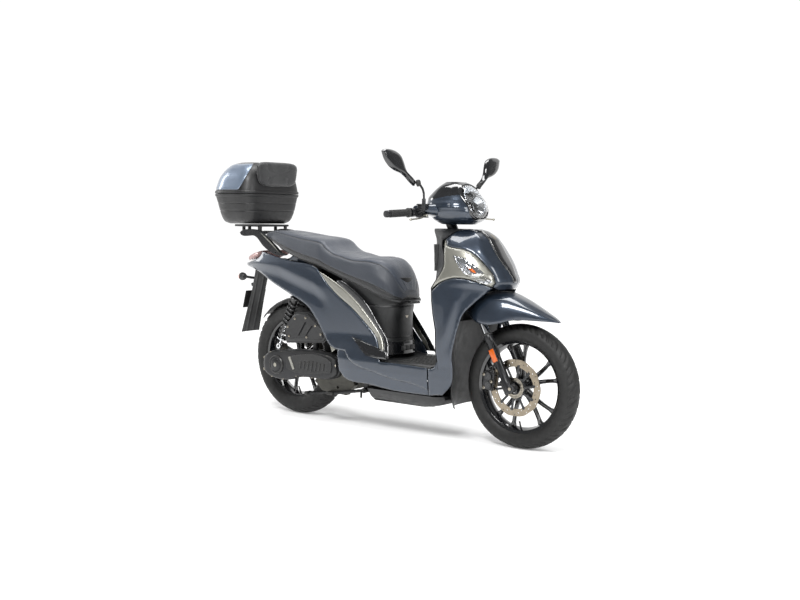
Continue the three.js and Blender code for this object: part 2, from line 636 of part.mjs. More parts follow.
// ---------------------------------------------------------------- seat
// station, underside, top, half width below, half width above
const SEAT_STATIONS = [
  [-846, 934, 950, 80, 62], [-771, 916, 956, 126, 100], [-700, 872, 949, 141, 116],
  [-563, 823, 931, 149, 124],
  [-445, 795, 920, 152, 126], [-378, 775, 902, 152, 128], [-300, 748, 858, 152, 130],
  [-230, 724, 834, 150, 128],
  [-110, 684, 836, 146, 120], [-40, 659, 818, 138, 106], [10, 644, 776, 120, 88], [38, 636, 720, 94, 68],
  [52, 640, 680, 62, 44],
];
const PAN_THICKNESS = 7;
const HINGE_X = 66;
const HINGE_Z = 626;
const HINGE_R = 6;

function seat() {
  const rings = SEAT_STATIONS.map(([x, low, high, wide, narrow]) => {
    const [w, n, h] = [side(wide), side(narrow), high - low];
    const half = [[w - 6, low], [w, low + 0.14 * h], [w, low + 0.42 * h], [n + 6, high - 0.16 * h],
      [n - 18, high - 1],
      [n * 0.4, high]];
    const right = half.map(([y, z]) => [-y, z]).reverse();
    return [...half, ...right].map(([y, z]) => new THREE.Vector3(along(x), y, z));
  });
  add('seat_cushion', loft(rings), 'vinyl');

  const panRings = SEAT_STATIONS.slice(1, -1).map(([x, low, , wide]) => {
    const w = side(wide) - 9;
    return [[-w, low - FIT - PAN_THICKNESS], [w, low - FIT - PAN_THICKNESS], [w, low - FIT], [-w, low - FIT]]
      .map(([y, z]) => new THREE.Vector3(along(x), y, z));
  });
  const lug = sidePrism(drawn([[8, 642], [10, 632], [HINGE_X - 6, HINGE_Z - 5], [HINGE_X + 5, HINGE_Z - 2],
    [HINGE_X + 5, HINGE_Z + 5], [36, 635]]), -20, 20);
  const pin = crossRod(along(HINGE_X), HINGE_Z, -34, 34, HINGE_R, 14);
  add('seat_pan', join(loft(panRings), lug.subtract(frontPrism([[-30, 600], [30, 600], [30, 634], [-30, 634]],
    along(-40), along(14))), pin), 'black');
}

// ---------------------------------------------------------------- frame and what it holds
function mainFrame() {
  const headLow = HEAD_TOP_REACH - 215;
  const head = turned(ringProfile(20, 29, 0, 205), steeringLine(headLow), FORK_UP, 16);
  const crown = steeringLine(headLow + 60);
  const down = bentTube([[crown.x - 30, 0, crown.z - 6], [along(344), 0, 670], [along(330), 0, 570],
    [along(326), 0, 440], [along(325), 0, 330], [along(304), 0, 262]], 15, 10);
  const rail = bentTube([[along(302), side(-30), 262], [along(270), side(-130), 240],
    [along(60), side(-140), 240],
    [along(-130), side(-132), 262], [along(-190), side(-131), 430], [along(-240), side(-131), 560],
    [along(-420), side(-134), 664], [along(-700), side(-132), 750], [along(-850), side(-96), 786]], 13, 14);
  const bar = (x, z, y) => crossRod(along(x), z, side(-y), side(y), 11, 8);
  const bars = join(bar(302, 262, 32), bar(-128, 262, 132), bar(-24, 240, 139), bar(-840, 785, 98));
  const gusset = sidePrism([[crown.x - 40, crown.z - 16], [crown.x - 4, crown.z - 30],
    [crown.x - 22, crown.z + 30]], -9, 9);
  const shockEar = (y) => crossRod(along(SHOCK_TOP.x), SHOCK_TOP.z, y * 112, y * (SHOCK_Y + 11), 7, 10);
  const earStay = (y) => rod(new THREE.Vector3(along(SHOCK_TOP.x), y * 116, SHOCK_TOP.z),
    new THREE.Vector3(along(SHOCK_TOP.x - 12), y * side(126), 724), 8, 8);
  const hanger = (y) => rod(new THREE.Vector3(along(-136), side(y * 132), 270),
    new THREE.Vector3(along(PIVOT.x + 2), y * 138, PIVOT.z), 8, 8);
  const pivotPin = crossRod(along(PIVOT.x), PIVOT.z, -142, 142, 7, 12);
  const standAt = new THREE.Vector3(along(SIDE_STAND.x), SIDE_STAND.y, SIDE_STAND.z);
  const standLug = box(standAt.x - 12, standAt.x + 12, standAt.y + 10, standAt.y + 20, standAt.z - 10, 272);
  const standPin = rod(standAt.clone().addScaledVector(LEFT, -14),
    standAt.clone().addScaledVector(LEFT, 16), 5, 12);
  const bearing = rod(steeringLine(headLow - 20), steeringLine(headLow + 230), 20, 16);
  add('main_frame', cut(join(head, down, gusset, rail, mirrored(rail), bars, shockEar(1), shockEar(-1),
    earStay(1),
    earStay(-1), hanger(1), hanger(-1), pivotPin, standLug, standPin), bearing), 'frame');
}

const PIVOT = { x: -230, z: 300 };         // engine hanger pivot
const SHOCK_TOP = { x: -588, z: 640 };
const SHOCK_FOOT = { x: -712, z: 362 };

// ---------------------------------------------------------------- fork and steering
function fork() {
  const legTop = YOKE_REACH + YOKE_HALF_HEIGHT;
  const stem = rod(steeringLine(YOKE_REACH), steeringLine(HEAD_TOP_REACH + 36), 14, 16);
  const yokeTop = forkPoint(YOKE_REACH, LEG_AHEAD);
  const bridge = new THREE.BoxGeometry(46, 2 * LEG_Y, 2 * YOKE_HALF_HEIGHT);
  bridge.rotateY(-RAKE);
  bridge.translate(yokeTop.x - 8, 0, yokeTop.z - 4);
  const clamp = (s) => rod(forkPoint(YOKE_REACH - YOKE_HALF_HEIGHT, LEG_AHEAD, s * LEG_Y),
    forkPoint(legTop, LEG_AHEAD, s * LEG_Y), STANCHION_R + 3.4, 16);

  const tubeLow = SLIDER_TOP - TUBE_IN_SLIDER;
  const tube = rod(forkPoint(tubeLow, LEG_AHEAD, -LEG_Y), forkPoint(legTop, LEG_AHEAD, -LEG_Y),
    STANCHION_R, 16);
  add('fork_upper', join(stem, solid(bridge), clamp(1), clamp(-1), tube, mirrored(tube)), 'frame');

  const bossR = 19;
  const sleeveProfile = [
    [SLIDER_R, -18], [SLIDER_R, SLIDER_TOP], [STANCHION_R + FIT, SLIDER_TOP], [STANCHION_R + FIT, 40],
    [9, 40], [9, -18],
  ];
  const sleeve = turned(sleeveProfile, forkPoint(0, LEG_AHEAD, -LEG_Y), FORK_UP, 16);
  const core = rod(forkPoint(-18, LEG_AHEAD, -LEG_Y), forkPoint(40, LEG_AHEAD, -LEG_Y), 12, 12);
  const boss = crossRod(FRONT_AXLE.x, FRONT_AXLE.z, -LEG_Y - 17, -LEG_Y + 19, bossR, 16);
  const axleHole = crossRod(FRONT_AXLE.x, FRONT_AXLE.z, -LEG_Y - 30, -LEG_Y + 30, AXLE_R + FIT, 16);
  addPair('fork_slider', cut(join(sleeve, core, boss), axleHole), 'black');

  const axle = crossRod(FRONT_AXLE.x, FRONT_AXLE.z, -LEG_Y - 24, LEG_Y + 24, AXLE_R, 16);
  add('front_axle', axle, 'steel');
  add('front_caliper', caliper(FRONT_AXLE, FRONT_DISC_R, FRONT_DISC_Y, 171, 44), 'black');
}

const AXLE_R = 7.5;
const SLIDER_TOP = 262;
const TUBE_IN_SLIDER = 110;

// a caliper over the edge of a disc, at an angle about the axle seen from the right-hand side
function caliper(axle, discRadius, discY, degrees, width) {
  const block = new THREE.BoxGeometry(56, width, 84);
  const slot = new THREE.BoxGeometry(60, CALIPER_SLOT, 120);
  slot.translate(14, 0, 0);
  const place = (geometry) => {
    geometry.translate(-(discRadius + 2), 0, 0);
    geometry.rotateY(THREE.MathUtils.degToRad(180 - degrees));
    geometry.translate(axle.x, discY, axle.z);
    return solid(geometry);
  };
  return cut(place(block), place(slot));
}

// station: crest x and z, edge x and z, half width
const FENDER_STATIONS = [
  [424, 628, 446, 600, 98], [478, 686, 500, 572, 127], [545, 706, 560, 562, 129], [606, 702, 618, 572, 122],
  [670, 680, 660, 584, 104], [732, 652, 712, 590, 84], [800, 618, 782, 588, 56], [845, 595, 836, 585, 28],
  [866, 584, 862, 580, 8],
];

function frontFender() {
  const rowAt = ([cx, cz, ex, ez, half], depth) => spread(-1, 1, 10).map((t) => {
    const drop = Math.abs(t) ** 2.4;
    const y = Math.sign(t) * (half - depth) * (1 - (1 - Math.abs(t)) ** 2);
    return new THREE.Vector3(cx + (ex - cx) * drop + AXLE_SHIFT, y,
      cz + (ez - cz) * drop - depth * (1 - Math.abs(t) ** 4));
  });
  const stemHole = rod(steeringLine(YOKE_REACH - 30), steeringLine(YOKE_REACH + 110), 19, 14);
  add('front_fender', sheet(FENDER_STATIONS.map((s) => rowAt(s, 0)), FENDER_STATIONS.map((s) => rowAt(s, 3)))
    .subtract(stemHole), 'paint');
}

// ---------------------------------------------------------------- wheels
function rim(axle, width, spokeWidth) {
  const half = width / 2;
  const flange = RIM_SEAT_RADIUS + RIM_FLANGE;
  const barrel = turned([
    [RIM_SEAT_RADIUS - 6, -half + 3], [flange, -half - 3], [flange, -half + 1], [RIM_SEAT_RADIUS, -half + 4],
    [RIM_SEAT_RADIUS - 9, -8], [RIM_SEAT_RADIUS - 9, 8], [RIM_SEAT_RADIUS, half - 4], [flange, half - 1],
    [flange, half + 3], [RIM_SEAT_RADIUS - 6, half - 3], [RIM_SEAT_RADIUS - 15, 9],
    [RIM_SEAT_RADIUS - 15, -9],
  ], axle, LEFT, 28);
  const hub = turned(ringProfile(AXLE_R + 1, 30, -33, 33), axle, LEFT, 16);
  const spokes = [];
  for (let pair = 0; pair < SPOKE_PAIRS; pair += 1) {
    for (const lean of [-14, 14]) {
      const length = RIM_SEAT_RADIUS - 15 - 22;
      const spoke = new THREE.BoxGeometry(length + 8, 26, spokeWidth);
      spoke.translate(22 + length / 2, 0, 0);
      spoke.rotateY(-THREE.MathUtils.degToRad(99 + (pair * 360) / SPOKE_PAIRS + lean));
      spoke.translate(axle.x, 0, axle.z);
      spokes.push(solid(spoke));
    }
  }
  return join(barrel, hub, ...spokes);
}

function tyre(axle, radius, width, rimWidth) {
  const half = rimWidth / 2;
  const bead = RIM_SEAT_RADIUS + FIT;
  const flange = RIM_SEAT_RADIUS + RIM_FLANGE;
  const shoulder = radius - 0.16 * width;
  const outer = [
    [bead, half - 9], [bead + 1, half - 5], [flange + 1, half - 1.6], [(flange + shoulder) / 2, width / 2],
    [shoulder, width / 2 - 4], [radius - 7, width * 0.3], [radius - 0.5, width * 0.1],
  ];
  const wall = 9;
  const inner = [[radius - wall - 2, width * 0.12], [shoulder - wall, width / 2 - 14],
    [flange + 8, half - 6]];
  const across = (points) => points.map(([r, y]) => [r, -y]).reverse();
  const profile = [...outer, ...across(outer), ...inner.slice().reverse().map(([r, y]) => [r, -y]), ...inner];
  return turned(profile, axle, LEFT, 28);
}

function disc(axle, radius, y, carrierR) {
  const at = new THREE.Vector3(axle.x, y, axle.z);
  const half = DISC_THICKNESS / 2;
  const band = turned(ringProfile(radius - 30, radius, -half, half), at, LEFT, 28);
  const carrier = turned(ringProfile(36, carrierR, -half, half), at, LEFT, 16);
  const arms = Array.from({ length: SPOKE_PAIRS }, (_, i) => {
    const arm = new THREE.BoxGeometry(radius - 20 - carrierR + 12, DISC_THICKNESS - 1, 22);
    arm.translate((radius - 20 + carrierR - 2) / 2, 0, 0);
    arm.rotateY(-(2 * Math.PI * i) / SPOKE_PAIRS);
    arm.translate(at.x, at.y, at.z);
    return solid(arm);
  });
  return join(band, carrier, ...arms);
}

function wheels() {
  const frontRimWidth = 0.72 * FRONT_TYRE_WIDTH;
  const rearRimWidth = 0.7 * REAR_TYRE_WIDTH;
  add('front_rim', rim(FRONT_AXLE, frontRimWidth, 17), 'gloss');
  add('front_tyre', tyre(FRONT_AXLE, FRONT_TYRE_RADIUS, FRONT_TYRE_WIDTH, frontRimWidth), 'rubber');
  add('front_disc', disc(FRONT_AXLE, FRONT_DISC_R, FRONT_DISC_Y, 74), 'steel');
  add('rear_rim', rim(REAR_AXLE, rearRimWidth, 19), 'gloss');
  add('rear_tyre', tyre(REAR_AXLE, REAR_TYRE_RADIUS, REAR_TYRE_WIDTH, rearRimWidth), 'rubber');
  add('rear_disc', disc(REAR_AXLE, REAR_DISC_R, REAR_DISC_Y, 64), 'steel');
}

// ---------------------------------------------------------------- power unit
const ARM_Y = 104;                 // swinging arm on the exhaust side

function powerUnit() {
  const halfCase = { y0: -128, y1: -76 };
  const caseSide = drawn([
    [-796, 262], [-784, 310], [-740, 336], [-690, 341], [-640, 348], [-330, 346], [-262, 330], [-206, 322],
    [-206, 276], [-262, 250], [-300, 246], [-452, 222], [-560, 214], [-640, 196], [-722, 200], [-784, 226],
  ]);
  const beltBack = sidePrism(caseSide, halfCase.y0, halfCase.y1);
  const block = sidePrism(drawn([[-364, 352], [-214, 330], [-206, 270], [-250, 178], [-340, 168],
    [-356, 230]]), -78, 78);
  const cylinder = rod(new THREE.Vector3(along(-300), 0, 290), new THREE.Vector3(along(-152), 0, 296), 52,
    12);
  const shaft = crossRod(REAR_AXLE.x, REAR_AXLE.z, -100, ARM_Y + 22, AXLE_R, 16);
  const sump = sidePrism(drawn([[-470, 204], [-452, 230], [-230, 254], [-206, 206], [-262, 152],
    [-420, 160]]), -126, -98);
  const bore = (point, radius) => crossRod(along(point.x), point.z, -160, 160, radius, 14);
  const standRoom = box(along(STAND_PIVOT.x) - 62, along(STAND_PIVOT.x) + 26, -96, 96, 100,
    STAND_PIVOT.z + 18);
  const armOutline = drawn([[-206, 318], [-206, 280], [-420, 262], [-660, 272], [-700, 286], [-704, 314],
    [-660, 328], [-420, 318]]);
  const arm = sidePrism(armOutline, ARM_Y - 10, ARM_Y + 10);
  const bridge = box(along(-256), along(-206), 60, ARM_Y, 284, 316);
  const grip = caliper(REAR_AXLE, REAR_DISC_R, REAR_DISC_Y, 30, 44);
  const standEar = (inner, outer) => join(
    crossRod(along(STAND_PIVOT.x), STAND_PIVOT.z, inner, outer, 13, 12),
    box(along(STAND_PIVOT.x) - 9, along(STAND_PIVOT.x) + 9, inner, outer, STAND_PIVOT.z, STAND_PIVOT.z + 30),
  );
  const engine = join(cut(join(beltBack, block, cylinder, sump), standRoom), shaft, arm, bridge, grip,
    shockLug(),
    mirrored(shockLug()), standEar(-60, -20), standEar(20, 60));
  add('engine_case', cut(engine, bore(PIVOT, 7 + 2 * FIT), bore(STAND_PIVOT, STAND_PIN_R + 2 * FIT)),
    'olive');

  const coverOutline = drawn([
    [-798, 262], [-786, 312], [-742, 338], [-690, 343], [-640, 352], [-330, 350], [-290, 334],
    [-284, 262], [-310, 236],
    [-452, 222], [-548, 222], [-590, 204], [-640, 194], [-722, 198], [-786, 226],
  ]);
  const lidLow = sidePrism(coverOutline, -172, halfCase.y0 - FIT);
  const lidHigh = sidePrism(grown(coverOutline, -9), -179, -160);
  const bossAt = (y) => new THREE.Vector3(along(-692), y, 271);
  const boss = rod(bossAt(-178), bossAt(-188), 46, 24, 42);
  add('belt_cover', join(lidLow, lidHigh, boss), 'olive');

  const boxOutline = drawn([
    [-664, 486], [-590, 546], [-500, 552], [-418, 508], [-376, 468], [-362, 432], [-394, 404],
    [-652, 384], [-668, 436],
  ]);
  const reach = SHOCK_TOP.z - SHOCK_FOOT.z;
  const lean = (SHOCK_TOP.x - SHOCK_FOOT.x) / reach;
  const shockRoom = sidePrism(drawn([-1, 1].flatMap((s) => [-1, 1].map((e) => [
    (SHOCK_TOP.x + SHOCK_FOOT.x) / 2 + e * s * lean * 200 + s * (SPRING_R + 7),
      (SHOCK_TOP.z + SHOCK_FOOT.z) / 2 + e * s * 200,
  ]))), -FAR, -SHOCK_Y + SPRING_R + 4);
  const lid = sidePrism(grown(boxOutline, -8), -151, -140);
  const snorkel = rod(new THREE.Vector3(along(-480), -108, 350 + FIT),
    new THREE.Vector3(along(-480), -108, 400), 15, 12);
  add('air_filter_box', cut(join(sidePrism(boxOutline, -143, -88), lid, snorkel), shockRoom), 'olive');

  const pipe = bentTube([[along(-196), 44, 240], [along(-204), 80, 176], [along(-290), 128, 150],
    [along(-430), 166, 176],
    [along(-520), 198, 236], [along(-566), 206, 266]], 15, 14, 10);
  const muffler = rod(new THREE.Vector3(along(-548), 206, 262), new THREE.Vector3(along(-905), 210, 398),
    47, 18, 52);
  const tip = rod(new THREE.Vector3(along(-900), 210, 396), new THREE.Vector3(along(-930), 210, 408), 22, 12);
  add('exhaust', join(pipe, muffler, tip), 'black');

  const hugger = hooped(REAR_AXLE, REAR_TYRE_RADIUS + 16, 70, 42, 138);
  add('rear_hugger', hugger, 'black');
}

// a curved guard over a tyre, between two angles measured from straight ahead
function hooped(axle, radius, half, from, to) {
  const rowAt = (degrees, depth) => spread(-1, 1, 6).map((t) => {
    const r = radius - depth - 26 * Math.abs(t) ** 3;
    const a = THREE.MathUtils.degToRad(degrees);
    return new THREE.Vector3(axle.x + r * Math.cos(a), (half - depth) * t, axle.z + r * Math.sin(a));
  });
  const angles = spread(from, to, 9);
  return sheet(angles.map((a) => rowAt(a, 0)), angles.map((a) => rowAt(a, 2.6)));
}

function shocks() {
  const top = new THREE.Vector3(along(SHOCK_TOP.x), -SHOCK_Y, SHOCK_TOP.z);
  const foot = new THREE.Vector3(along(SHOCK_FOOT.x), -SHOCK_Y, SHOCK_FOOT.z);
  const axis = top.clone().sub(foot).normalize();
  const length = top.distanceTo(foot);
  const up = (distance) => foot.clone().addScaledVector(axis, distance);
  const eye = (at, inner, outer) => turned(ringProfile(inner, outer, -8, 8), at, LEFT, 16);
  const damper = join(
    turned([[ROD_R + 2, length - 175], [DAMPER_R, length - 175], [DAMPER_R, length - 30],
      [SPRING_R, length - 30],
      [SPRING_R, length - 24], [10, length - 16], [ROD_R + 2, length - 16]], foot, axis, 12),
    cut(rod(up(length - 22), up(length - 3), 11, 12), rod(top.clone().addScaledVector(LEFT, -20),
      top.clone().addScaledVector(LEFT, 20), 7 + FIT, 12)),
    eye(top, 7 + FIT, 15));
  addPair('shock_body', damper, 'black');
  const rodPiece = join(rod(up(12), up(length - 80), ROD_R, 10),
    turned(ringProfile(4, SPRING_R, 44, 50), foot, axis, 16), eye(foot, 5 + FIT, 14));
  addPair('shock_rod', rodPiece, 'steel');
  const turns = 6;
  const [low, high] = [50 + 3.5, length - 30 - 3.5];
  const coil = [];
  const perTurn = 7;
  for (let i = 0; i <= turns * perTurn; i += 1) {
    const angle = (2 * Math.PI * i) / perTurn;
    const across = new THREE.Vector3(axis.z, 0, -axis.x).multiplyScalar(Math.cos(angle) * (SPRING_R - 4))
      .addScaledVector(LEFT, Math.sin(angle) * (SPRING_R - 4));
    const point = up(low + ((high - low) * i) / (turns * perTurn)).add(across);
    coil.push([point.x, point.y, point.z]);
  }
  addPair('shock_spring', bentTube(coil, 3, turns * perTurn, 4), 'steel');
}

// the pin at the foot of the right-hand shock absorber and the lug that carries it
function shockLug() {
  const foot = new THREE.Vector3(along(SHOCK_FOOT.x), -SHOCK_Y, SHOCK_FOOT.z);
  const pin = rod(foot.clone().addScaledVector(LEFT, -11), foot.clone().addScaledVector(LEFT, 30), 5, 10);
  const lug = sidePrism([[foot.x - 26, foot.z + 12], [foot.x + 20, foot.z + 12], [foot.x + 42, 310],
    [foot.x - 14, 300]],
    -112, -95);
  return join(pin, lug);
}

// ---------------------------------------------------------------- stands
const STAND_PIVOT = { x: -316, z: 186 };
const STAND_PIN_R = 7;
const SIDE_STAND = { x: -142, y: -126, z: 190 };

function stands() {
  const pin = crossRod(along(STAND_PIVOT.x), STAND_PIVOT.z, -86, 86, STAND_PIN_R, 12);
  const leg = (s) => bentTube([[along(STAND_PIVOT.x), s * 80, STAND_PIVOT.z],
    [along(STAND_PIVOT.x - 40), s * 82, 162],
    [along(STAND_PIVOT.x - 130), s * 88, 144], [along(STAND_PIVOT.x - 216), s * 110, 132]], 9, 6);
  const foot = (s) => rod(new THREE.Vector3(along(STAND_PIVOT.x - 212), s * 92, 131),
    new THREE.Vector3(along(STAND_PIVOT.x - 212), s * 130, 133), 12, 10);
  const cross = crossRod(along(STAND_PIVOT.x - 46), 158, -80, 80, 8, 10);
  add('centre_stand', join(pin, leg(1), leg(-1), foot(1), foot(-1), cross), 'frame');

  const at = new THREE.Vector3(along(SIDE_STAND.x), SIDE_STAND.y, SIDE_STAND.z);
  const legEnd = new THREE.Vector3(at.x - 196, at.y - 16, at.z - 34);
  const blade = bentTube([[at.x, at.y, at.z], [at.x - 50, at.y - 14, at.z - 8],
    [legEnd.x, legEnd.y, legEnd.z]], 8, 5);
  const shoe = box(legEnd.x - 26, legEnd.x + 14, legEnd.y - 16, legEnd.y + 16, legEnd.z - 8, legEnd.z + 8);
  const tang = rod(new THREE.Vector3(at.x - 20, at.y - 2, at.z - 4),
    new THREE.Vector3(at.x + 6, at.y - 34, at.z - 28), 5.5, 10);
  const eye = crossRod(at.x, at.z, at.y - 9, at.y + 9, 13, 14);
  const bore = crossRod(at.x, at.z, at.y - 20, at.y + 9.5, 5 + FIT, 14);
  add('side_stand', cut(join(blade, shoe, tang, eye), bore), 'frame');
}

// ---------------------------------------------------------------- handlebar group
// height, rear, front, half width of the handlebar cover
const COVER_LEVELS = [
  [1006, 238, 410, 66], [1020, 210, 436, 106], [1042, 193, 453, 137], [1070, 179, 449, 151],
  [1100, 171, 437, 147],
  [1120, 170, 424, 132], [1150, 195, 401, 102], [1184, 238, 364, 70], [1202, 262, 326, 42],
];
const GRIP_INNER = { x: 200, y: -150, z: 1062 };
const BAR_END = { x: 171, y: -367, z: 1051 };
const HEADLIGHT_OUTLINE = [
  [0, 1030], [42, 1034], [68, 1056], [80, 1092], [80, 1130], [66, 1160], [40, 1182], [0, 1190], [-40, 1182],
  [-66, 1160], [-80, 1130], [-80, 1092], [-68, 1056], [-42, 1034],
];

function coverRing([z, rear, front, half], inset) {
  const steps = 18;
  const [r, f, h] = [rear + AXLE_SHIFT + inset, front + AXLE_SHIFT - inset, half - inset];
  return Array.from({ length: steps }, (_, i) => {
    const angle = (2 * Math.PI * i) / steps;
    const [c, s] = [Math.cos(angle), Math.sin(angle)];
    const power = 0.72;
    return new THREE.Vector3((r + f) / 2 + ((f - r) / 2) * Math.sign(c) * Math.abs(c) ** power,
      h * Math.sign(s) * Math.abs(s) ** power, z);
  });
}

function coverVolume(inset) {
  return loft(COVER_LEVELS.map((row, i) => {
    const shift = i === 0 ? inset : i === COVER_LEVELS.length - 1 ? -inset : 0;
    return coverRing([row[0] + shift, ...row.slice(1)], inset);
  }));
}

const barPoint = (s, share) => new THREE.Vector3(
  GRIP_INNER.x + (BAR_END.x - GRIP_INNER.x) * share + AXLE_SHIFT,
  -s * (GRIP_INNER.y + (BAR_END.y - GRIP_INNER.y) * share),
  GRIP_INNER.z + (BAR_END.z - GRIP_INNER.z) * share);

function handlebar() {
  const half = (s) => bentTube([[262 + AXLE_SHIFT, s * 0.01, 1040], [244 + AXLE_SHIFT, s * 48, 1046],
    [214 + AXLE_SHIFT, s * 110, 1060], barPoint(s, 0.08).toArray()], BAR_R, 6, 8);
  const straight = (s) => rod(barPoint(s, 0.05), barPoint(s, 0.97), BAR_R, 12);
  const weight = (s) => rod(barPoint(s, 0.93), barPoint(s, 1.0), GRIP_R - 1, 14);
  const clampLow = steeringLine(HEAD_TOP_REACH + 36 + FIT);
  const clamp = rod(clampLow, steeringLine(HEAD_TOP_REACH + 134), 24, 12);
  const perch = (s) => rod(barPoint(s, 0.02), barPoint(s, 0.13), BAR_R + 6, 10);
  const bars = join(half(1), half(-1), straight(1), straight(-1), weight(1), weight(-1), clamp, perch(1),
    perch(-1),
    leverMount(1), leverMount(-1), mirrorStalk(1), mirrorStalk(-1), switchBlock(1), switchBlock(-1));
  const slotted = cut(bars, leverSlot(1), leverSlot(-1));
  add('handlebar', join(slotted, leverPin(1), leverPin(-1)), 'black');

  const gripFrom = (s) => barPoint(s, 0.3);
  for (const [name, s] of [['grip_right', -1], ['throttle_grip', 1]]) {
    const at = gripFrom(s);
    const direction = barPoint(s, 1).sub(at);
    const length = direction.length() * 0.88;
    add(name, turned(ringProfile(BAR_R + FIT, GRIP_R, 0, length), at, direction.normalize(), 14), 'rubber');
  }
  for (const [name, s] of [['brake_lever_right', -1], ['brake_lever_left', 1]]) add(name, lever(s), 'steel');
  for (const [name, s] of [['mirror_right', -1], ['mirror_left', 1]]) add(name, mirrorHead(s), 'gloss');

  const outerShell = cut(coverVolume(0), coverVolume(WALL));
  const frontCut = frontPrism(HEADLIGHT_OUTLINE, 300 + AXLE_SHIFT, 500 + AXLE_SHIFT);
  const barGap = (s) => rod(barPoint(s, -0.45), barPoint(s, 0.3), 27, 12);
  const stemGap = rod(steeringLine(HEAD_TOP_REACH), steeringLine(HEAD_TOP_REACH + 110), 34, 20);
  const stalkGap = (s) => rod(stalkBase(s), stalkBase(s).setZ(1150), 16, 12);
  add('handlebar_cover', cut(outerShell, frontCut, barGap(1), barGap(-1), stemGap, stalkGap(1),
    stalkGap(-1)), 'paint');

  const lampZone = frontPrism(grown(HEADLIGHT_OUTLINE, -SEAM), 300 + AXLE_SHIFT + SEAM, 500 + AXLE_SHIFT);
  add('headlight', coverVolume(0).intersect(lampZone), 'lens');
}

const leverPivot = (s) => new THREE.Vector3(246 + AXLE_SHIFT, s * 166, 1046);
const LEVER_TIP = { x: 290, y: 338, z: 1028 };

function leverMount(s) {
  const at = leverPivot(s);
  return box(at.x - 48, at.x + 9, at.y - 10, at.y + 10, at.z - 10, at.z + 10);
}

function leverSlot(s) {
  const at = leverPivot(s);
  return rod(at.clone().setZ(at.z - 4.7), at.clone().setZ(at.z + 4.7), 15, 16);
}

function leverPin(s) {
  const at = leverPivot(s);
  return rod(at.clone().setZ(at.z - 7), at.clone().setZ(at.z + 7), 3, 10);
}

function lever(s) {
  const at = leverPivot(s);
  const middle = [at.x + 26, s * 240, 1034];
  const tip = [LEVER_TIP.x + AXLE_SHIFT, s * LEVER_TIP.y, LEVER_TIP.z];
  const blade = bentTube([[at.x + 5, at.y + s * 6, at.z], middle, tip], 3.6, 5, 8);
  const knob = new THREE.SphereGeometry(6.5, 8, 6);
  knob.translate(...tip);
  const eye = rod(at.clone().setZ(at.z - 4), at.clone().setZ(at.z + 4), 11, 14);
  const bore = rod(at.clone().setZ(at.z - 12), at.clone().setZ(at.z + 12), 3 + FIT, 12);
  return cut(join(blade, solid(knob), eye), bore);
}

const stalkBase = (s) => new THREE.Vector3(256 + AXLE_SHIFT, s * 196, 1068);
const stalkJoint = (s) => new THREE.Vector3(262 + AXLE_SHIFT, s * 250, 1192);

function mirrorStalk(s) {
  const base = stalkBase(s);
  const joint = stalkJoint(s);
  const foot = rod(barPoint(s, 0.1), base, 10, 10);
  const boot = rod(base, base.clone().setZ(1122), 9, 12);
  const arm = bentTube([[base.x, base.y, 1100], [base.x + 1, s * 198, 1148], [base.x + 4, s * 218, 1174],
    [joint.x, joint.y, joint.z]], 5.5, 5, 6);
  return join(foot, boot, arm);
}

function mirrorHead(s) {
  const outline = [[-250, 1192], [-292, 1216], [-318, 1246], [-336, 1290], [-356, 1318], [-452, 1334],
    [-470, 1326],
    [-456, 1290], [-428, 1262], [-392, 1244], [-330, 1224], [-290, 1196], [-262, 1178]];
  const facing = s < 0 ? outline : outline.map(([y, z]) => [-y, z]);
  const deep = frontPrism(facing, -11, 11);
  const geometry = geometryOf(deep);
  geometry.rotateY(MIRROR_TILT);
  const lift = 1250;
  geometry.translate(250 + AXLE_SHIFT - Math.sin(MIRROR_TILT) * lift, 0, (1 - Math.cos(MIRROR_TILT)) * lift);
  const socket = new THREE.SphereGeometry(11, 8, 6);
  const joint = stalkJoint(s);
  socket.translate(joint.x, joint.y + s * 8, joint.z + 9);
  const clear = rod(new THREE.Vector3(joint.x - 2, joint.y - s * 30, joint.z - 24),
    joint.clone().add(new THREE.Vector3(0, s * 3, 4)), 8, 12);
  return join(solid(geometry), solid(socket)).subtract(clear);
}

function switchBlock(s) {
  const from = barPoint(s, 0.145);
  const to = barPoint(s, 0.285);
  return rod(from, to, 21, 12);
}

// ---------------------------------------------------------------- top box
const BOX_LEVELS = [
  // height, inset from the widest outline at the front, at the rear and at each side
  [BOX_FLOOR, 38, 50, 66], [1010, 18, 26, 30], [1060, 5, 9, 8], [1110, 0, 2, 1], [BOX_SEAM_Z, 0, 0, 0],
  [1200, 2, 4, 4], [1250, 9, 26, 20], [1290, 24, 66, 52], [BOX_TOP, 62, 126, 106],
];

function boxRing([z, front, rear, flank], inset) {
  const steps = 24;
  const x1 = along(BOX_FRONT) - front - inset;
  const x0 = along(BOX_FRONT) - BOX_LENGTH + rear + inset;
  const half = BOX_HALF_WIDTH - flank - inset;
  return Array.from({ length: steps }, (_, i) => {
    const angle = (2 * Math.PI * i) / steps;
    const [c, s] = [Math.cos(angle), Math.sin(angle)];
    const round = c > 0 ? 0.42 : 0.85;
    return new THREE.Vector3((x0 + x1) / 2 + ((x1 - x0) / 2) * Math.sign(c) * Math.abs(c) ** round,
      half * Math.sign(s) * Math.abs(s) ** round, z);
  });
}

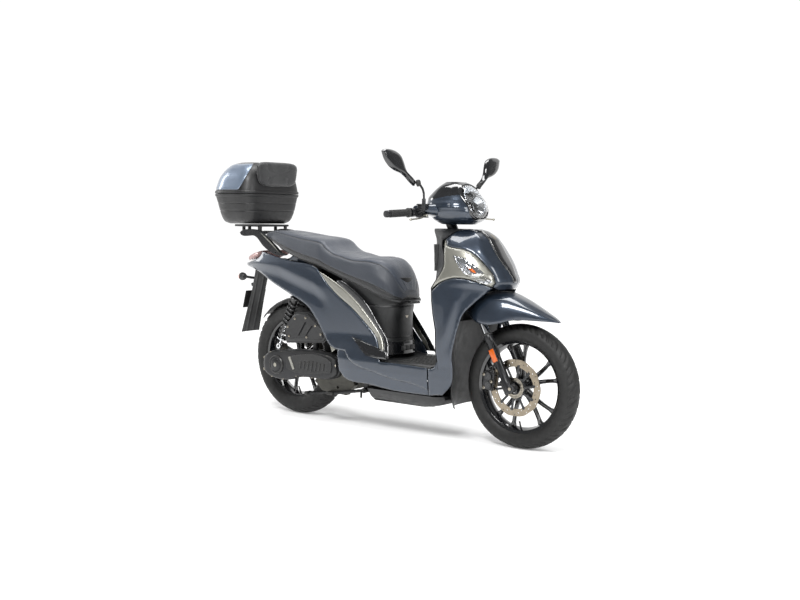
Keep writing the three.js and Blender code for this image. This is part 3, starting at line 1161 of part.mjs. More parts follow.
function topBox() {
  const baseLevels = BOX_LEVELS.filter((row) => row[0] <= BOX_SEAM_Z);
  const lidLevels = BOX_LEVELS.filter((row) => row[0] >= BOX_SEAM_Z);
  const shifted = (rows, shifts) => rows.map((row,
    i) => boxRing([row[0] + (shifts[i] ?? 0), ...row.slice(1)], WALL));
  const base = cut(loft(baseLevels.map((row) => boxRing(row, 0))),
    loft(shifted(baseLevels, { 0: WALL, 4: 6 })));
  add('box_base', base, 'black');
  const lidOuter = loft(lidLevels.map((row,
    i) => boxRing([row[0] + (i === 0 ? SEAM : 0), ...row.slice(1)], 0)));
  const lidInner = loft(shifted(lidLevels, { 0: -4, 4: -WALL }));
  add('box_lid', cut(lidOuter, lidInner), 'black');

  const front = along(BOX_FRONT);
  const pad = loft([[front + FIT + 1, 126, 1176, 1290], [front + 10, 137, 1166, 1302],
    [front + 20, 134, 1172, 1298],
    [front + 25, 112, 1192, 1280]].map(([x, half, low, high]) => {
    const bevel = 26;
    return [[-half + bevel, low], [half - bevel, low], [half, low + bevel], [half, high - bevel],
      [half - bevel, high],
      [-half + bevel, high], [-half, high - bevel],
      [-half, low + bevel]].map(([y, z]) => new THREE.Vector3(x, y, z));
  }));
  add('box_backrest', pad, 'vinyl');
}

// ---------------------------------------------------------------- build
frontBody();
wheelWell();
floorboard();
bellyPan();
rearBody();
tail();
storageTub();
grabRail();
rearMudguard();
seat();
mainFrame();
fork();
frontFender();
wheels();
powerUnit();
shocks();
stands();
handlebar();
topBox();

// the bounding box runs from the back of the top box to the front of the front tyre
const rearmost = along(BOX_FRONT) - BOX_LENGTH;
const foremost = FRONT_AXLE.x + FRONT_TYRE_RADIUS;
scooter.position.x = -(rearmost + foremost) / 2;

export default scooter;
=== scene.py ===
"""Moped scooter: the finished look, built over the CAD frame.

Tables are in millimetres from the drawing's own origin, and `at` turns them into metres in the shared frame.
"""

import logging
import math
from dataclasses import dataclass
from enum import Enum
from typing import Callable, Sequence

import bmesh
import bpy
import numpy as np
from mathutils import Matrix, Vector
from mathutils.geometry import delaunay_2d_cdt


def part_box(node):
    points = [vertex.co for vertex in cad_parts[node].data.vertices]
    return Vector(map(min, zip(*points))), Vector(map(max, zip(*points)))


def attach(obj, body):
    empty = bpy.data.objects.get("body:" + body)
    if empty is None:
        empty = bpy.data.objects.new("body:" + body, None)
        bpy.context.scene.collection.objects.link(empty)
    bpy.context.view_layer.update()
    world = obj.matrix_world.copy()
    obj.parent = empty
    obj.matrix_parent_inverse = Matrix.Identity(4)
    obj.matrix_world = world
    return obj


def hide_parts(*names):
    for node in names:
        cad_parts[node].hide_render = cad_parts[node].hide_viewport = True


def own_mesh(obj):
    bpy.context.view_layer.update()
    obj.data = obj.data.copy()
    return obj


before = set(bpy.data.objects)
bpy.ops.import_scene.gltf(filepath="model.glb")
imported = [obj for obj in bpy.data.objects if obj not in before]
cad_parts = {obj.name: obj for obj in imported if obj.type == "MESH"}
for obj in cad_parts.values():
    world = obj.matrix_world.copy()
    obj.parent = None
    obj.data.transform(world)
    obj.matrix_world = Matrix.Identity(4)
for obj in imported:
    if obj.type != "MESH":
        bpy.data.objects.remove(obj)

log = logging.getLogger("scooter")
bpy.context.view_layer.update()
SHIFT = 128.25  # the drawing's x of the middle of the row frame, mm
PLATE_SPACING = 400  # a flat plate needs no points inside its outline, mm
Points = Sequence[Sequence[float]]
Piece = bpy.types.Object
Tree = bpy.types.NodeTree
Socket = bpy.types.NodeSocket


# ------------------------------------------------------------------ numbers and outlines
def at(x: float, y: float, z: float) -> Vector:
    """A drawn point in millimetres as a point of the row frame in metres."""
    return Vector(((x + SHIFT) / 1000, y / 1000, z / 1000))


def ease(t: np.ndarray | float) -> np.ndarray:
    """0 below 0, 1 above 1, and a smooth step between."""
    t = np.clip(t, 0, 1)
    return t * t * (3 - 2 * t)


def eased(table: Points, key: np.ndarray | float) -> list[np.ndarray]:
    """Smooth curves through a table's columns.

    Args:
        table: rows of a rising key followed by values.
        key: where to read it.
    Returns:
        One array of values for each column after the key.
    """
    rows = np.array(table, float)
    k = np.clip(np.asarray(key, float), rows[0, 0], rows[-1, 0])
    i = np.clip(np.searchsorted(rows[:, 0], k, side="right") - 1, 0, len(rows) - 2)
    step = np.diff(rows[:, 0])
    found = []
    for column in rows.T[1:]:
        secant = np.diff(column) / step
        slope = np.concatenate([[secant[0]], (secant[:-1] + secant[1:]) / 2, [secant[-1]]])
        flat = np.concatenate([[False], secant[:-1] * secant[1:] <= 0, [False]])
        slope[flat] = 0
        t = (k - rows[i, 0]) / step[i]
        found.append(
            (2 * t**3 - 3 * t**2 + 1) * column[i]
            + (t**3 - 2 * t**2 + t) * step[i] * slope[i]
            + (3 * t**2 - 2 * t**3) * column[i + 1]
            + (t**3 - t**2) * step[i] * slope[i + 1]
        )
    return found


def curve(points: Points, spacing: float, closed: bool = True, corner: float = 42) -> np.ndarray:
    """A smooth line through points, which keeps the sharp corners.

    Args:
        points: the points, in two or three dimensions.
        spacing: distance between the points returned.
        closed: whether the last joins the first.
        corner: a turn above this many degrees stays sharp.
    Returns:
        The points on the line; a closed line doesn't repeat its first.
    """
    p = np.array(points, float)
    n = len(p)
    ahead, back = np.roll(p, -1, 0) - p, p - np.roll(p, 1, 0)
    if not closed:
        ahead[-1], back[0] = back[-1], ahead[0]
    unit = lambda v: v / np.maximum(np.linalg.norm(v, axis=1, keepdims=True), 1e-9)
    a, b = unit(ahead), unit(back)
    sharp = np.degrees(np.arccos(np.clip((a * b).sum(1), -1, 1))) > corner
    mean = unit(a + b)
    out = []
    for i in range(n if closed else n - 1):
        j = (i + 1) % n
        length = np.linalg.norm(p[j] - p[i])
        start = (a[i] if sharp[i] else mean[i]) * length
        end = (b[j] if sharp[j] else mean[j]) * length
        for t in np.arange(max(1, round(length / spacing))) / max(1, round(length / spacing)):
            out.append(
                (2 * t**3 - 3 * t**2 + 1) * p[i] + (t**3 - 2 * t**2 + t) * start
                + (3 * t**2 - 2 * t**3) * p[j] + (t**3 - t**2) * end
            )
    if not closed:
        out.append(p[-1])
    return np.array(out)


def inside(points: np.ndarray, loop: np.ndarray) -> np.ndarray:
    """Which points lie inside a closed loop."""
    x, y = points[:, 0][:, None], points[:, 1][:, None]
    x0, y0 = loop[:, 0], loop[:, 1]
    x1, y1 = np.roll(x0, -1), np.roll(y0, -1)
    crosses = ((y0 > y) != (y1 > y)) & (x < (x1 - x0) * (y - y0) / np.where(y1 == y0, 1e-9, y1 - y0) + x0)
    return crosses.sum(1) % 2 == 1


def edge_distance(points: np.ndarray, loops: Sequence[np.ndarray]) -> np.ndarray:
    """Distance of each point from the nearest loop."""
    best = np.full(len(points), 1e9)
    for loop in loops:
        p, q = loop, np.roll(loop, -1, 0)
        d = q - p
        t = np.clip(((points[:, None] - p) * d).sum(2) / np.maximum((d * d).sum(1), 1e-9), 0, 1)
        best = np.minimum(best, np.linalg.norm(points[:, None] - (p + t[:, :, None] * d), axis=2).min(1))
    return best


# ------------------------------------------------------------------ mesh helpers
def alone(obj: Piece) -> Piece:
    """Makes obj the only selected and the active object."""
    bpy.ops.object.select_all(action="DESELECT")
    obj.select_set(True)
    bpy.context.view_layer.objects.active = obj
    return obj


def new_object(name: str, points: Points, faces: Sequence[Sequence[int]]) -> Piece:
    """Makes a mesh object.

    Args:
        name: object name.
        points: drawn millimetres.
        faces: point numbers of each face.
    Returns:
        The object, in the scene.
    """
    mesh = bpy.data.meshes.new(name)
    mesh.from_pydata([at(*p) for p in points], [], [tuple(f) for f in faces])
    mesh.update()
    obj = bpy.data.objects.new(name, mesh)
    bpy.context.scene.collection.objects.link(obj)
    return obj


def facing(obj: Piece, away: Sequence[float]) -> None:
    """Flips an open skin that looks inwards.

    Args:
        obj: the skin.
        away: rough outward direction.
    """
    total = sum((face.normal * face.area for face in obj.data.polygons), Vector())
    if total.dot(Vector(away)) < 0:
        obj.data.flip_normals()


def walled(obj: Piece, thickness: float) -> None:
    """Gives an open skin a live wall, inwards.

    Args:
        obj: the skin.
        thickness: mm.
    """
    wall = obj.modifiers.new("wall", "SOLIDIFY")
    wall.thickness = thickness / 1000
    wall.offset = -1


def rounded(obj: Piece, width: float) -> None:
    """Rounds the sharp edges with a live bevel.

    Args:
        obj: the piece.
        width: mm.
    """
    edge = obj.modifiers.new("edge", "BEVEL")
    edge.width = width / 1000
    edge.segments = 2
    edge.limit_method = "ANGLE"
    edge.angle_limit = math.radians(40)


def outward(obj: Piece, merge: float = 0.02) -> Piece:
    """Merges doubled points and turns every face of a closed mesh outwards.

    Args:
        obj: the closed mesh.
        merge: points nearer than this become one, mm.
    Returns:
        The same object.
    """
    mesh = bmesh.new()
    mesh.from_mesh(obj.data)
    bmesh.ops.remove_doubles(mesh, verts=mesh.verts, dist=merge / 1000)
    bmesh.ops.recalc_face_normals(mesh, faces=mesh.faces)
    mesh.to_mesh(obj.data)
    mesh.free()
    return obj


def grid_faces(rows: int, columns: int, round_rows: bool = False, round_columns: bool = True) -> list:
    """Quads over a grid of points.

    Args:
        rows: number of rows.
        columns: points in a row.
        round_rows: whether the last row meets the first.
        round_columns: whether each row closes on itself.
    Returns:
        Four point numbers for each quad.
    """
    found = []
    for i in range(rows if round_rows else rows - 1):
        here, there = i * columns, (i + 1) % rows * columns
        for j in range(columns if round_columns else columns - 1):
            k = (j + 1) % columns
            found.append((here + j, here + k, there + k, there + j))
    return found


def loft(name: str, rings: Points) -> Piece:
    """A closed skin over rings of points, with a fan over each end.

    Args:
        name: object name.
        rings: rings with the same count of points, mm.
    Returns:
        The closed mesh.
    """
    rings = [list(map(tuple, ring)) for ring in rings]
    count = len(rings[0])
    points = [p for ring in rings for p in ring]
    faces = grid_faces(len(rings), count)
    for start, turn in ((0, -1), ((len(rings) - 1) * count, 1)):
        points.append(tuple(np.mean(points[start : start + count], axis=0)))
        pole = len(points) - 1
        faces += [(start + j, start + (j + 1) % count, pole)[::turn] for j in range(count)]
    return outward(new_object(name, points, faces))


def loft_loop(name: str, rings: np.ndarray) -> Piece:
    """A skin over rings that closes on its first ring.

    Args:
        name: object name.
        rings: array of rings of points, mm.
    Returns:
        The closed mesh.
    """
    count, size = rings.shape[:2]
    return outward(new_object(name, rings.reshape(-1, 3), grid_faces(count, size, round_rows=True)))


def open_skin(name: str, rows: Points, away: Sequence[float], thickness: float) -> Piece:
    """An open skin over rows of points, with a live wall.

    Args:
        name: object name.
        rows: rows with the same count of points, mm.
        away: rough outward direction.
        thickness: wall, mm.
    Returns:
        The skin.
    """
    points = [tuple(p) for row in rows for p in row]
    obj = new_object(name, points, grid_faces(len(rows), len(rows[0]), round_columns=False))
    facing(obj, away)
    walled(obj, thickness)
    return obj


def turned(
    name: str,
    profile: Points,
    centre: Sequence[float],
    axis: Sequence[float] = (0, 1, 0),
    steps: int = 64,
) -> Piece:
    """A lathe shape.

    Args:
        name: object name.
        profile: closed profile of radius and distance along the axis, mm.
        centre: a point of the axis.
        axis: its direction.
        steps: facets round the axis.
    Returns:
        The closed mesh.
    """
    a = Vector(axis).normalized()
    u = a.orthogonal().normalized()
    v = a.cross(u)
    c = Vector(centre)
    points = [
        c + (u * math.cos(t) + v * math.sin(t)) * max(r, 0.001) + a * h
        for t in (2 * math.pi * i / steps for i in range(steps))
        for r, h in profile
    ]
    return outward(new_object(name, points, grid_faces(steps, len(profile), round_rows=True)))


def tube(
    name: str,
    points: Points,
    radius: float,
    steps: float = 6,
    sides: int = 12,
    taper: Callable | None = None,
) -> Piece:
    """A round bar or pipe along a smooth line.

    Args:
        name: object name.
        points: what the line runs through, mm.
        radius: mm.
        steps: distance between rings, mm.
        sides: points round the section.
        taper: radius factor for a share 0..1 of the length.
    Returns:
        The closed mesh.
    """
    line = curve(points, steps, closed=False, corner=170)
    rings = []
    side = None
    for i, p in enumerate(line):
        d = Vector(line[min(i + 1, len(line) - 1)] - line[max(i - 1, 0)]).normalized()
        if side is None:
            side = d.cross(Vector((0, 0, 1)) if abs(d.z) < 0.9 else Vector((0, 1, 0))).normalized()
        side = (side - d * side.dot(d)).normalized()
        up = side.cross(d)
        r = radius * (taper(i / (len(line) - 1)) if taper else 1)
        turns = [2 * math.pi * k / sides for k in range(sides)]
        rings.append([Vector(p) + side * math.cos(t) * r + up * math.sin(t) * r for t in turns])
    return loft(name, rings)


def bar(name: str, start: Sequence[float], end: Sequence[float], radius: float, sides: int = 24) -> Piece:
    """A straight round bar with small chamfers at its ends.

    Args:
        name: object name.
        start: middle of one end, mm.
        end: middle of the other.
        radius: mm.
        sides: facets round it.
    Returns:
        The closed mesh.
    """
    a, b = Vector(start), Vector(end)
    length = (b - a).length
    c = min(1.0, radius * 0.2)
    profile = [(0, 0), (radius - c, 0), (radius, c), (radius, length - c), (radius - c, length), (0, length)]
    return turned(name, profile, a, b - a, sides)


def block(
    name: str, centre: Sequence[float], size: Sequence[float], turn: float = 0, bevel: float = 2.0
) -> Piece:
    """A box with rounded edges.

    Args:
        name: object name.
        centre: its middle, mm.
        size: length, width and height, mm.
        turn: pitch about its middle, degrees.
        bevel: width of the rounding, mm.
    Returns:
        The closed mesh.
    """
    bpy.ops.mesh.primitive_cube_add(size=1)
    obj = bpy.context.active_object
    obj.name = obj.data.name = name
    spin = Matrix.Rotation(math.radians(turn), 4, "Y")
    scale = Matrix.Diagonal((size[0] / 1000, size[1] / 1000, size[2] / 1000, 1))
    obj.data.transform(Matrix.Translation(at(*centre)) @ spin @ scale)
    obj.matrix_world = Matrix.Identity(4)
    alone(obj)
    modifier = obj.modifiers.new("edges", "BEVEL")
    modifier.width = bevel / 1000
    modifier.segments = 3
    bpy.ops.object.modifier_apply(modifier="edges")
    return obj


def joined(name: str, *objs: Piece) -> Piece:
    """Joins pieces that are one part on the machine.

    Args:
        name: name of the result.
        objs: the pieces.
    Returns:
        The first, with the others in it.
    """
    alone(objs[0])
    for o in objs:
        o.select_set(True)
    bpy.ops.object.join()
    objs[0].name = objs[0].data.name = name
    return objs[0]


def mirrored(obj: Piece, name: str) -> Piece:
    """A copy on the other side of the middle plane, with its own mesh and the same modifiers.

    Args:
        obj: the piece.
        name: name of the copy.
    Returns:
        The copy.
    """
    twin = obj.copy()
    twin.data = obj.data.copy()
    twin.name = twin.data.name = name
    bpy.context.scene.collection.objects.link(twin)
    twin.data.transform(Matrix.Scale(-1, 4, Vector((0, 1, 0))))
    twin.data.flip_normals()
    return twin


def filled(outline: np.ndarray, spacing: float, holes: Sequence[np.ndarray] = ()) -> tuple[np.ndarray, list]:
    """Fills a flat outline with evenly spread triangles.

    Args:
        outline: closed outline.
        spacing: size of the triangles.
        holes: outlines of cut-outs.
    Returns:
        The points, and the point numbers of each face.
    """
    loops = [outline, *holes]
    low, high = outline.min(0), outline.max(0)
    xs, ys = np.arange(low[0], high[0], spacing), np.arange(low[1], high[1], spacing * 0.87)
    grid = np.array([(x + (j % 2) * spacing / 2, y) for j, y in enumerate(ys) for x in xs])
    keep = inside(grid, outline)
    for hole in holes:
        keep &= ~inside(grid, hole)
    grid = grid[keep]
    grid = grid[edge_distance(grid, loops) > spacing * 0.5]
    points, edges = [], []
    for loop in loops:
        n = len(points)
        points += list(loop)
        edges += [(n + i, n + (i + 1) % len(loop)) for i in range(len(loop))]
    points += list(grid)
    found = delaunay_2d_cdt([Vector(p) for p in points], edges, [], 2, 1e-4)
    flat = np.array([tuple(p) for p in found[0]])
    middles = np.array([flat[f].mean(0) for f in found[2]])
    open_parts = np.zeros(len(middles), bool)
    for hole in holes:
        open_parts |= inside(middles, hole)
    return flat, [f for f, is_open in zip(found[2], open_parts) if not is_open]


def panel(
    name: str,
    outline: np.ndarray,
    surface: Callable,
    away: Sequence[float],
    spacing: float = 9,
    thickness: float = 2.6,
    roll: float = 1.6,
    lift: Callable | None = None,
    holes: Sequence[np.ndarray] = (),
) -> Piece:
    """A moulded panel over a curved surface.

    Args:
        name: object name.
        outline: closed outline in the surface's own two coordinates.
        surface: turns arrays of those coordinates into x, y, z in mm.
        away: rough outward direction.
        spacing: size of the triangles.
        thickness: wall, inwards.
        roll: how far the rim turns in, mm.
        lift: extra height for arrays of the two coordinates and the distance from the rim.
        holes: outlines of cut-outs.
    Returns:
        The panel, with a live wall.
    """
    flat, faces = filled(outline, spacing, holes)
    x, y, z = surface(flat[:, 0], flat[:, 1])
    obj = new_object(name, np.column_stack([x, y, z]), faces)
    facing(obj, away)
    distance = edge_distance(flat, [outline, *holes])
    height = -roll * np.clip(1 - distance / (4 * roll + 1e-6), 0, 1) ** 2
    if lift:
        height = height + lift(flat[:, 0], flat[:, 1], distance)
    normals = [v.normal.copy() for v in obj.data.vertices]
    for v, n, h in zip(obj.data.vertices, normals, height):
        v.co += n * float(h) / 1000
    walled(obj, thickness)
    return obj


def plate(
    name: str,
    outline: Points,
    low: float,
    high: float,
    plane: str = "XZ",
    holes: Sequence[np.ndarray] = (),
    bevel: float = 1.5,
) -> Piece:
    """A flat plate of any outline.

    Args:
        name: object name.
        outline: closed outline in the plane, mm.
        low: its lower face, across the plane.
        high: its upper face.
        plane: XZ as seen from the side, or XY as seen from above.
        holes: outlines of cut-outs.
        bevel: width of the live edge rounding, mm, or 0 for none.
    Returns:
        The plate.
    """
    flat, faces = filled(np.array(outline, float), PLATE_SPACING, holes)
    upright = plane == "XZ"
    obj = new_object(name, [(a, high, b) if upright else (a, b, high) for a, b in flat], faces)
    facing(obj, (0, 1, 0) if upright else (0, 0, 1))
    alone(obj)
    walled(obj, high - low)
    bpy.ops.object.modifier_apply(modifier="wall")
    if bevel:
        rounded(obj, bevel)
    return obj


def superellipse(
    xm: float, a: float, b: float, power: float, count: int, back_power: float | None = None
) -> list[tuple[float, float]]:
    """Points of a rounded rectangle about (xm, 0).

    Args:
        xm: its middle.
        a: half length.
        b: half width.
        power: 1 is an ellipse, and less is squarer.
        count: number of points.
        back_power: the same for its back half, if that differs.
    Returns:
        The points, anticlockwise from the front.
    """
    found = []
    for i in range(count):
        t = 2 * math.pi * i / count
        c, s = math.cos(t), math.sin(t)
        k = power if c > 0 or back_power is None else back_power
        found.append((xm + a * math.copysign(abs(c) ** k, c), b * math.copysign(abs(s) ** k, s)))
    return found


# ------------------------------------------------------------------ finishes
def linear(colour: str) -> tuple[float, float, float, float]:
    """An sRGB hex colour as linear RGBA."""
    parts = [int(colour[i : i + 2], 16) / 255 for i in (1, 3, 5)]
    return tuple(c / 12.92 if c <= 0.04045 else ((c + 0.055) / 1.055) ** 2.4 for c in parts) + (1.0,)


def add_node(tree: Tree, kind: str, inputs: dict | None = None, **settings) -> bpy.types.Node:
    """Adds one shader node.

    Args:
        tree: the material's nodes.
        kind: node type.
        inputs: a value, or a socket to link, for each input.
        settings: the node's own options.
    Returns:
        The node.
    """
    node = tree.nodes.new(kind)
    for name, value in settings.items():
        setattr(node, name, value)
    for name, value in (inputs or {}).items():
        if isinstance(value, Socket):
            tree.links.new(value, node.inputs[name])
        else:
            node.inputs[name].default_value = value
    return node


@dataclass(frozen=True)
class Finish:
    """One real material. The plain class is a moulded plastic with a fine grain."""

    name: str
    slot: str
    colour: str
    shade: str
    roughness: float = 0.45
    spread: float = 0.08
    metallic: float = 0.0
    ior: float = 1.5
    coat: float = 0.0
    grain_mm: float = 0.8
    relief: float = 0.12
    mottle_mm: float = 70
    wear: float = 0.25
    wear_colour: str = "#8a8c8e"

    def noise(self, tree: Tree, where: Socket, size_mm: float, detail: float = 3) -> Socket:
        """Noise whose features are about size_mm wide."""
        return add_node(
            tree, "ShaderNodeTexNoise", {"Vector": where, "Scale": 1000 / size_mm, "Detail": detail}
        ).outputs["Fac"]

    def height(self, tree: Tree, where: Socket) -> Socket:
        """The relief that the bump follows."""
        return self.noise(tree, where, self.grain_mm)

    def extra(self, tree: Tree, shader: bpy.types.Node, where: Socket) -> None:
        """Anything that only this material has."""

    def material(self) -> bpy.types.Material:
        """The Blender material, made on first use."""
        found = bpy.data.materials.get(self.name)
        if found:
            return found
        made = bpy.data.materials.new(self.name)
        made.use_nodes = True
        tree = made.node_tree
        tree.nodes.clear()
        where = add_node(tree, "ShaderNodeTexCoord").outputs["Object"]
        drift = self.noise(tree, where, self.mottle_mm, 4)
        body = add_node(tree, "ShaderNodeMix", {"Factor": drift}, data_type="RGBA")
        body.inputs[6].default_value = linear(self.colour)
        body.inputs[7].default_value = linear(self.shade)
        colour = body.outputs[2]
        if self.wear:
            sharp = add_node(tree, "ShaderNodeNewGeometry").outputs["Pointiness"]
            edge = add_node(
                tree, "ShaderNodeMapRange",
                {"Value": sharp, "From Min": 0.52, "From Max": 0.62, "To Max": self.wear},
            )
            rubbed = add_node(
                tree, "ShaderNodeMath", {0: edge.outputs[0], 1: self.noise(tree, where, 9)},
                operation="MULTIPLY",
            )
            worn = add_node(tree, "ShaderNodeMix", {"Factor": rubbed.outputs[0]}, data_type="RGBA")
            tree.links.new(colour, worn.inputs[6])
            worn.inputs[7].default_value = linear(self.wear_colour)
            colour = worn.outputs[2]
        smear = self.noise(tree, where, self.mottle_mm / 3, 5)
        rough = add_node(
            tree, "ShaderNodeMapRange",
            {
                "Value": smear, "From Min": 0.3, "From Max": 0.7,
                "To Min": max(0.0, self.roughness - self.spread), "To Max": self.roughness + self.spread,
            },
        )
        bump = add_node(
            tree, "ShaderNodeBump",
            {"Height": self.height(tree, where), "Strength": self.relief, "Distance": 0.0004},
        )
        shader = add_node(tree, "ShaderNodeBsdfPrincipled", {
            "Base Color": colour, "Roughness": rough.outputs[0], "Normal": bump.outputs[0],
            "Metallic": self.metallic, "IOR": self.ior, "Coat Weight": self.coat, "Coat Roughness": 0.04,
        })
        self.extra(tree, shader, where)
        add_node(tree, "ShaderNodeOutputMaterial", {"Surface": shader.outputs[0]})
        return made


@dataclass(frozen=True)
class MetallicPaint(Finish):
    """Metallic base coat under clear lacquer: flakes glint, the coat mirrors the studio."""

    flake: str = "#8fa0b4"
    flake_mm: float = 0.35

    def extra(self, tree, shader, where) -> None:
        """Scatters bright flakes in the base colour."""
        cells = add_node(tree, "ShaderNodeTexVoronoi", {"Vector": where, "Scale": 1000 / self.flake_mm})
        glint = add_node(
            tree, "ShaderNodeMapRange",
            {"Value": cells.outputs["Color"], "From Min": 0.72, "From Max": 1.0, "To Max": 0.35},
        )
        mix = add_node(tree, "ShaderNodeMix", {"Factor": glint.outputs[0]}, data_type="RGBA")
        tree.links.new(shader.inputs["Base Color"].links[0].from_socket, mix.inputs[6])
        mix.inputs[7].default_value = linear(self.flake)
        tree.links.new(mix.outputs[2], shader.inputs["Base Color"])


@dataclass(frozen=True)
class PebbledPlastic(Finish):
    """Black polypropylene with the pebbled mould texture that hides scratches."""

    def height(self, tree, where) -> Socket:
        """Rounded pebbles of the grain size."""
        return add_node(
            tree, "ShaderNodeTexVoronoi", {"Vector": where, "Scale": 1000 / self.grain_mm},
            feature="SMOOTH_F1",
        ).outputs["Distance"]


@dataclass(frozen=True)
class Vinyl(Finish):
    """Seat vinyl: creased leather-like cells over foam, dull with a soft sheen."""

    def height(self, tree, where) -> Socket:
        """Flat cells between fine creases."""
        cells = add_node(
            tree, "ShaderNodeTexVoronoi", {"Vector": where, "Scale": 1000 / self.grain_mm},
            feature="DISTANCE_TO_EDGE",
        ).outputs["Distance"]
        return add_node(tree, "ShaderNodeMapRange", {"Value": cells, "From Max": 0.12}).outputs[0]

    def extra(self, tree, shader, where) -> None:
        """A soft sheen at grazing angles."""
        shader.inputs["Sheen Weight"].default_value = 0.25


@dataclass(frozen=True)
class BrushedMetal(Finish):
    """Machined metal: long fine tool marks along one axis."""

    def height(self, tree, where) -> Socket:
        """Streaks much longer than they are wide."""
        stretched = add_node(
            tree, "ShaderNodeMapping", {"Vector": where, "Scale": (1.0, 14.0, 1.0)}
        ).outputs[0]
        return self.noise(tree, stretched, self.grain_mm * 3, 2)


@dataclass(frozen=True)
class ClearPlastic(Finish):
    """Polycarbonate lens: lets light through."""

    transmission: float = 1.0

    def extra(self, tree, shader, where) -> None:
        """Lets light through."""
        shader.inputs["Transmission Weight"].default_value = self.transmission


class Look(Enum):
    """The finishes of the machine."""

    # deep blue-grey that glints in the light and mirrors the softboxes in its lacquer
    PAINT = MetallicPaint(
        "metallic_body_paint", "paint", "#26303d", "#212a36", 0.36, 0.05, 0.6, coat=1.0, relief=0.01,
        wear=0.1, flake="#4a5b70",
    )
    # warm dull silver, brighter where it curves to the light
    SILVER = MetallicPaint(
        "silver_trim_paint", "silver_paint", "#8b8a82", "#7e7d75", 0.36, 0.06, 0.7, coat=0.8, relief=0.02,
        wear=0.1, flake="#c4c3b8",
    )
    # pale blue-silver with a soft shine
    CHAMPAGNE = MetallicPaint(
        "pale_blue_silver_paint", "silver_paint", "#6f7c8d", "#657182", 0.36, 0.05, 0.5, coat=0.7,
        relief=0.02, wear=0.1, flake="#a9b6c6",
    )
    # soft black with fine pebbles that break up reflections
    BLACK = PebbledPlastic(
        "moulded_black_polypropylene", "black_plastic", "#0e0f10", "#141516", 0.42, 0.08, grain_mm=1.0,
        relief=0.22,
    )
    # coarser pebbles, almost without shine
    MATTE = PebbledPlastic(
        "textured_black_box_plastic", "matte_plastic", "#0f0f10", "#161617", 0.46, 0.08, grain_mm=1.4,
        relief=0.35,
    )
    # piano black with crisp reflections
    GLOSS = Finish(
        "gloss_black_abs", "gloss_black", "#0a0b0d", "#101114", 0.14, 0.05, coat=0.8, relief=0.02, wear=0.12
    )
    # dull charcoal with a skin of fine pores
    RUBBER = Finish(
        "moulded_rubber", "rubber", "#141414", "#1c1c1b", 0.72, 0.08, grain_mm=0.5, relief=0.3, wear=0.12
    )
    # dense black rubber, greyer on worn edges
    TYRE = Finish(
        "tyre_rubber", "tyre", "#090909", "#10100f", 0.62, 0.1, grain_mm=0.7, relief=0.3, wear=0.1,
        wear_colour="#2c2b29",
    )
    # blue-grey leather grain with a soft sheen
    SEAT_TOP = Vinyl(
        "seat_vinyl_top", "vinyl", "#272e3a", "#222935", 0.46, 0.06, grain_mm=2.2, relief=0.28, wear=0.0
    )
    # the same grain as the top, made darker: painted shade on the sides, which face away from the light from
    # above
    SEAT_SIDE = Vinyl(
        "seat_vinyl_side", "vinyl", "#1d222b", "#242a33", 0.5, 0.06, grain_mm=2.2, relief=0.28, wear=0.0
    )
    # black vinyl of the band and the backrest
    SEAT_BAND = Vinyl(
        "seat_vinyl_band", "vinyl", "#0d0e10", "#131416", 0.45, 0.06, grain_mm=1.8, relief=0.3, wear=0.0
    )
    # dark satin paint over a sand-cast skin, rubbed bright on the ribs
    OLIVE = Finish(
        "painted_cast_aluminium", "olive_aluminium", "#26272a", "#2e2e2e", 0.36, 0.09, 0.5, grain_mm=1.1,
        relief=0.22, wear=0.3, wear_colour="#8a887f",
    )
    # bare light alloy with a grainy skin
    CAST = Finish(
        "bare_cast_aluminium", "olive_aluminium", "#8d8a80", "#a19e93", 0.42, 0.1, 0.9, grain_mm=1.3,
        relief=0.35, wear=0.3, wear_colour="#d8d6cd",
    )
    # dull grey alloy, stained by heat and road dirt
    ENGINE = Finish(
        "dull_cast_aluminium", "olive_aluminium", "#3b3a37", "#484741", 0.46, 0.1, 0.7, grain_mm=1.3,
        relief=0.35, wear=0.3, wear_colour="#8f8d86",
    )
    # smooth black powder coat with bright worn edges
    BLACK_METAL = Finish(
        "black_powder_coated_aluminium", "black_aluminium", "#121315", "#1a1b1d", 0.3, 0.07, 0.3,
        grain_mm=0.6, relief=0.12, wear=0.35, wear_colour="#77787a",
    )
    # rougher black powder coat on tubes
    BLACK_STEEL = Finish(
        "black_powder_coated_steel", "black_steel", "#101112", "#18191a", 0.4, 0.08, 0.2, grain_mm=0.7,
        relief=0.2, wear=0.35, wear_colour="#6e6a66",
    )
    # fine turned marks and sharp highlights
    STEEL = BrushedMetal(
        "machined_steel", "steel", "#9c968a", "#857f74", 0.28, 0.09, 1.0, grain_mm=0.5, relief=0.12,
        wear=0.2, wear_colour="#d5d2c8",
    )
    # warm grey steel with grinding marks
    DISC = BrushedMetal(
        "brake_disc_steel", "steel", "#958b7b", "#7d7466", 0.3, 0.08, 1.0, grain_mm=0.4, relief=0.16,
        wear=0.0,
    )
    # near-perfect mirror
    CHROME = Finish(
        "chrome_plate", "steel", "#d2d4d6", "#c2c4c7", 0.06, 0.03, 1.0, grain_mm=2.0, relief=0.01, wear=0.0
    )
    # glossy black lacquer
    SPRING = Finish(
        "black_spring_lacquer", "damper_black", "#101010", "#181818", 0.3, 0.07, 0.1, coat=0.3, relief=0.06,
        wear=0.25,
    )
    # colourless glass-like lens
    CLEAR = ClearPlastic(
        "clear_polycarbonate", "clear_lens", "#ffffff", "#f4f7fa", 0.03, 0.02, ior=1.58, relief=0.01,
        wear=0.0,
    )
    # deep red reflector plastic
    RED = ClearPlastic(
        "red_polycarbonate", "red_lens", "#a3100e", "#8c0c0c", 0.08, 0.03, ior=1.58, relief=0.03, wear=0.0,
        transmission=0.35,
    )
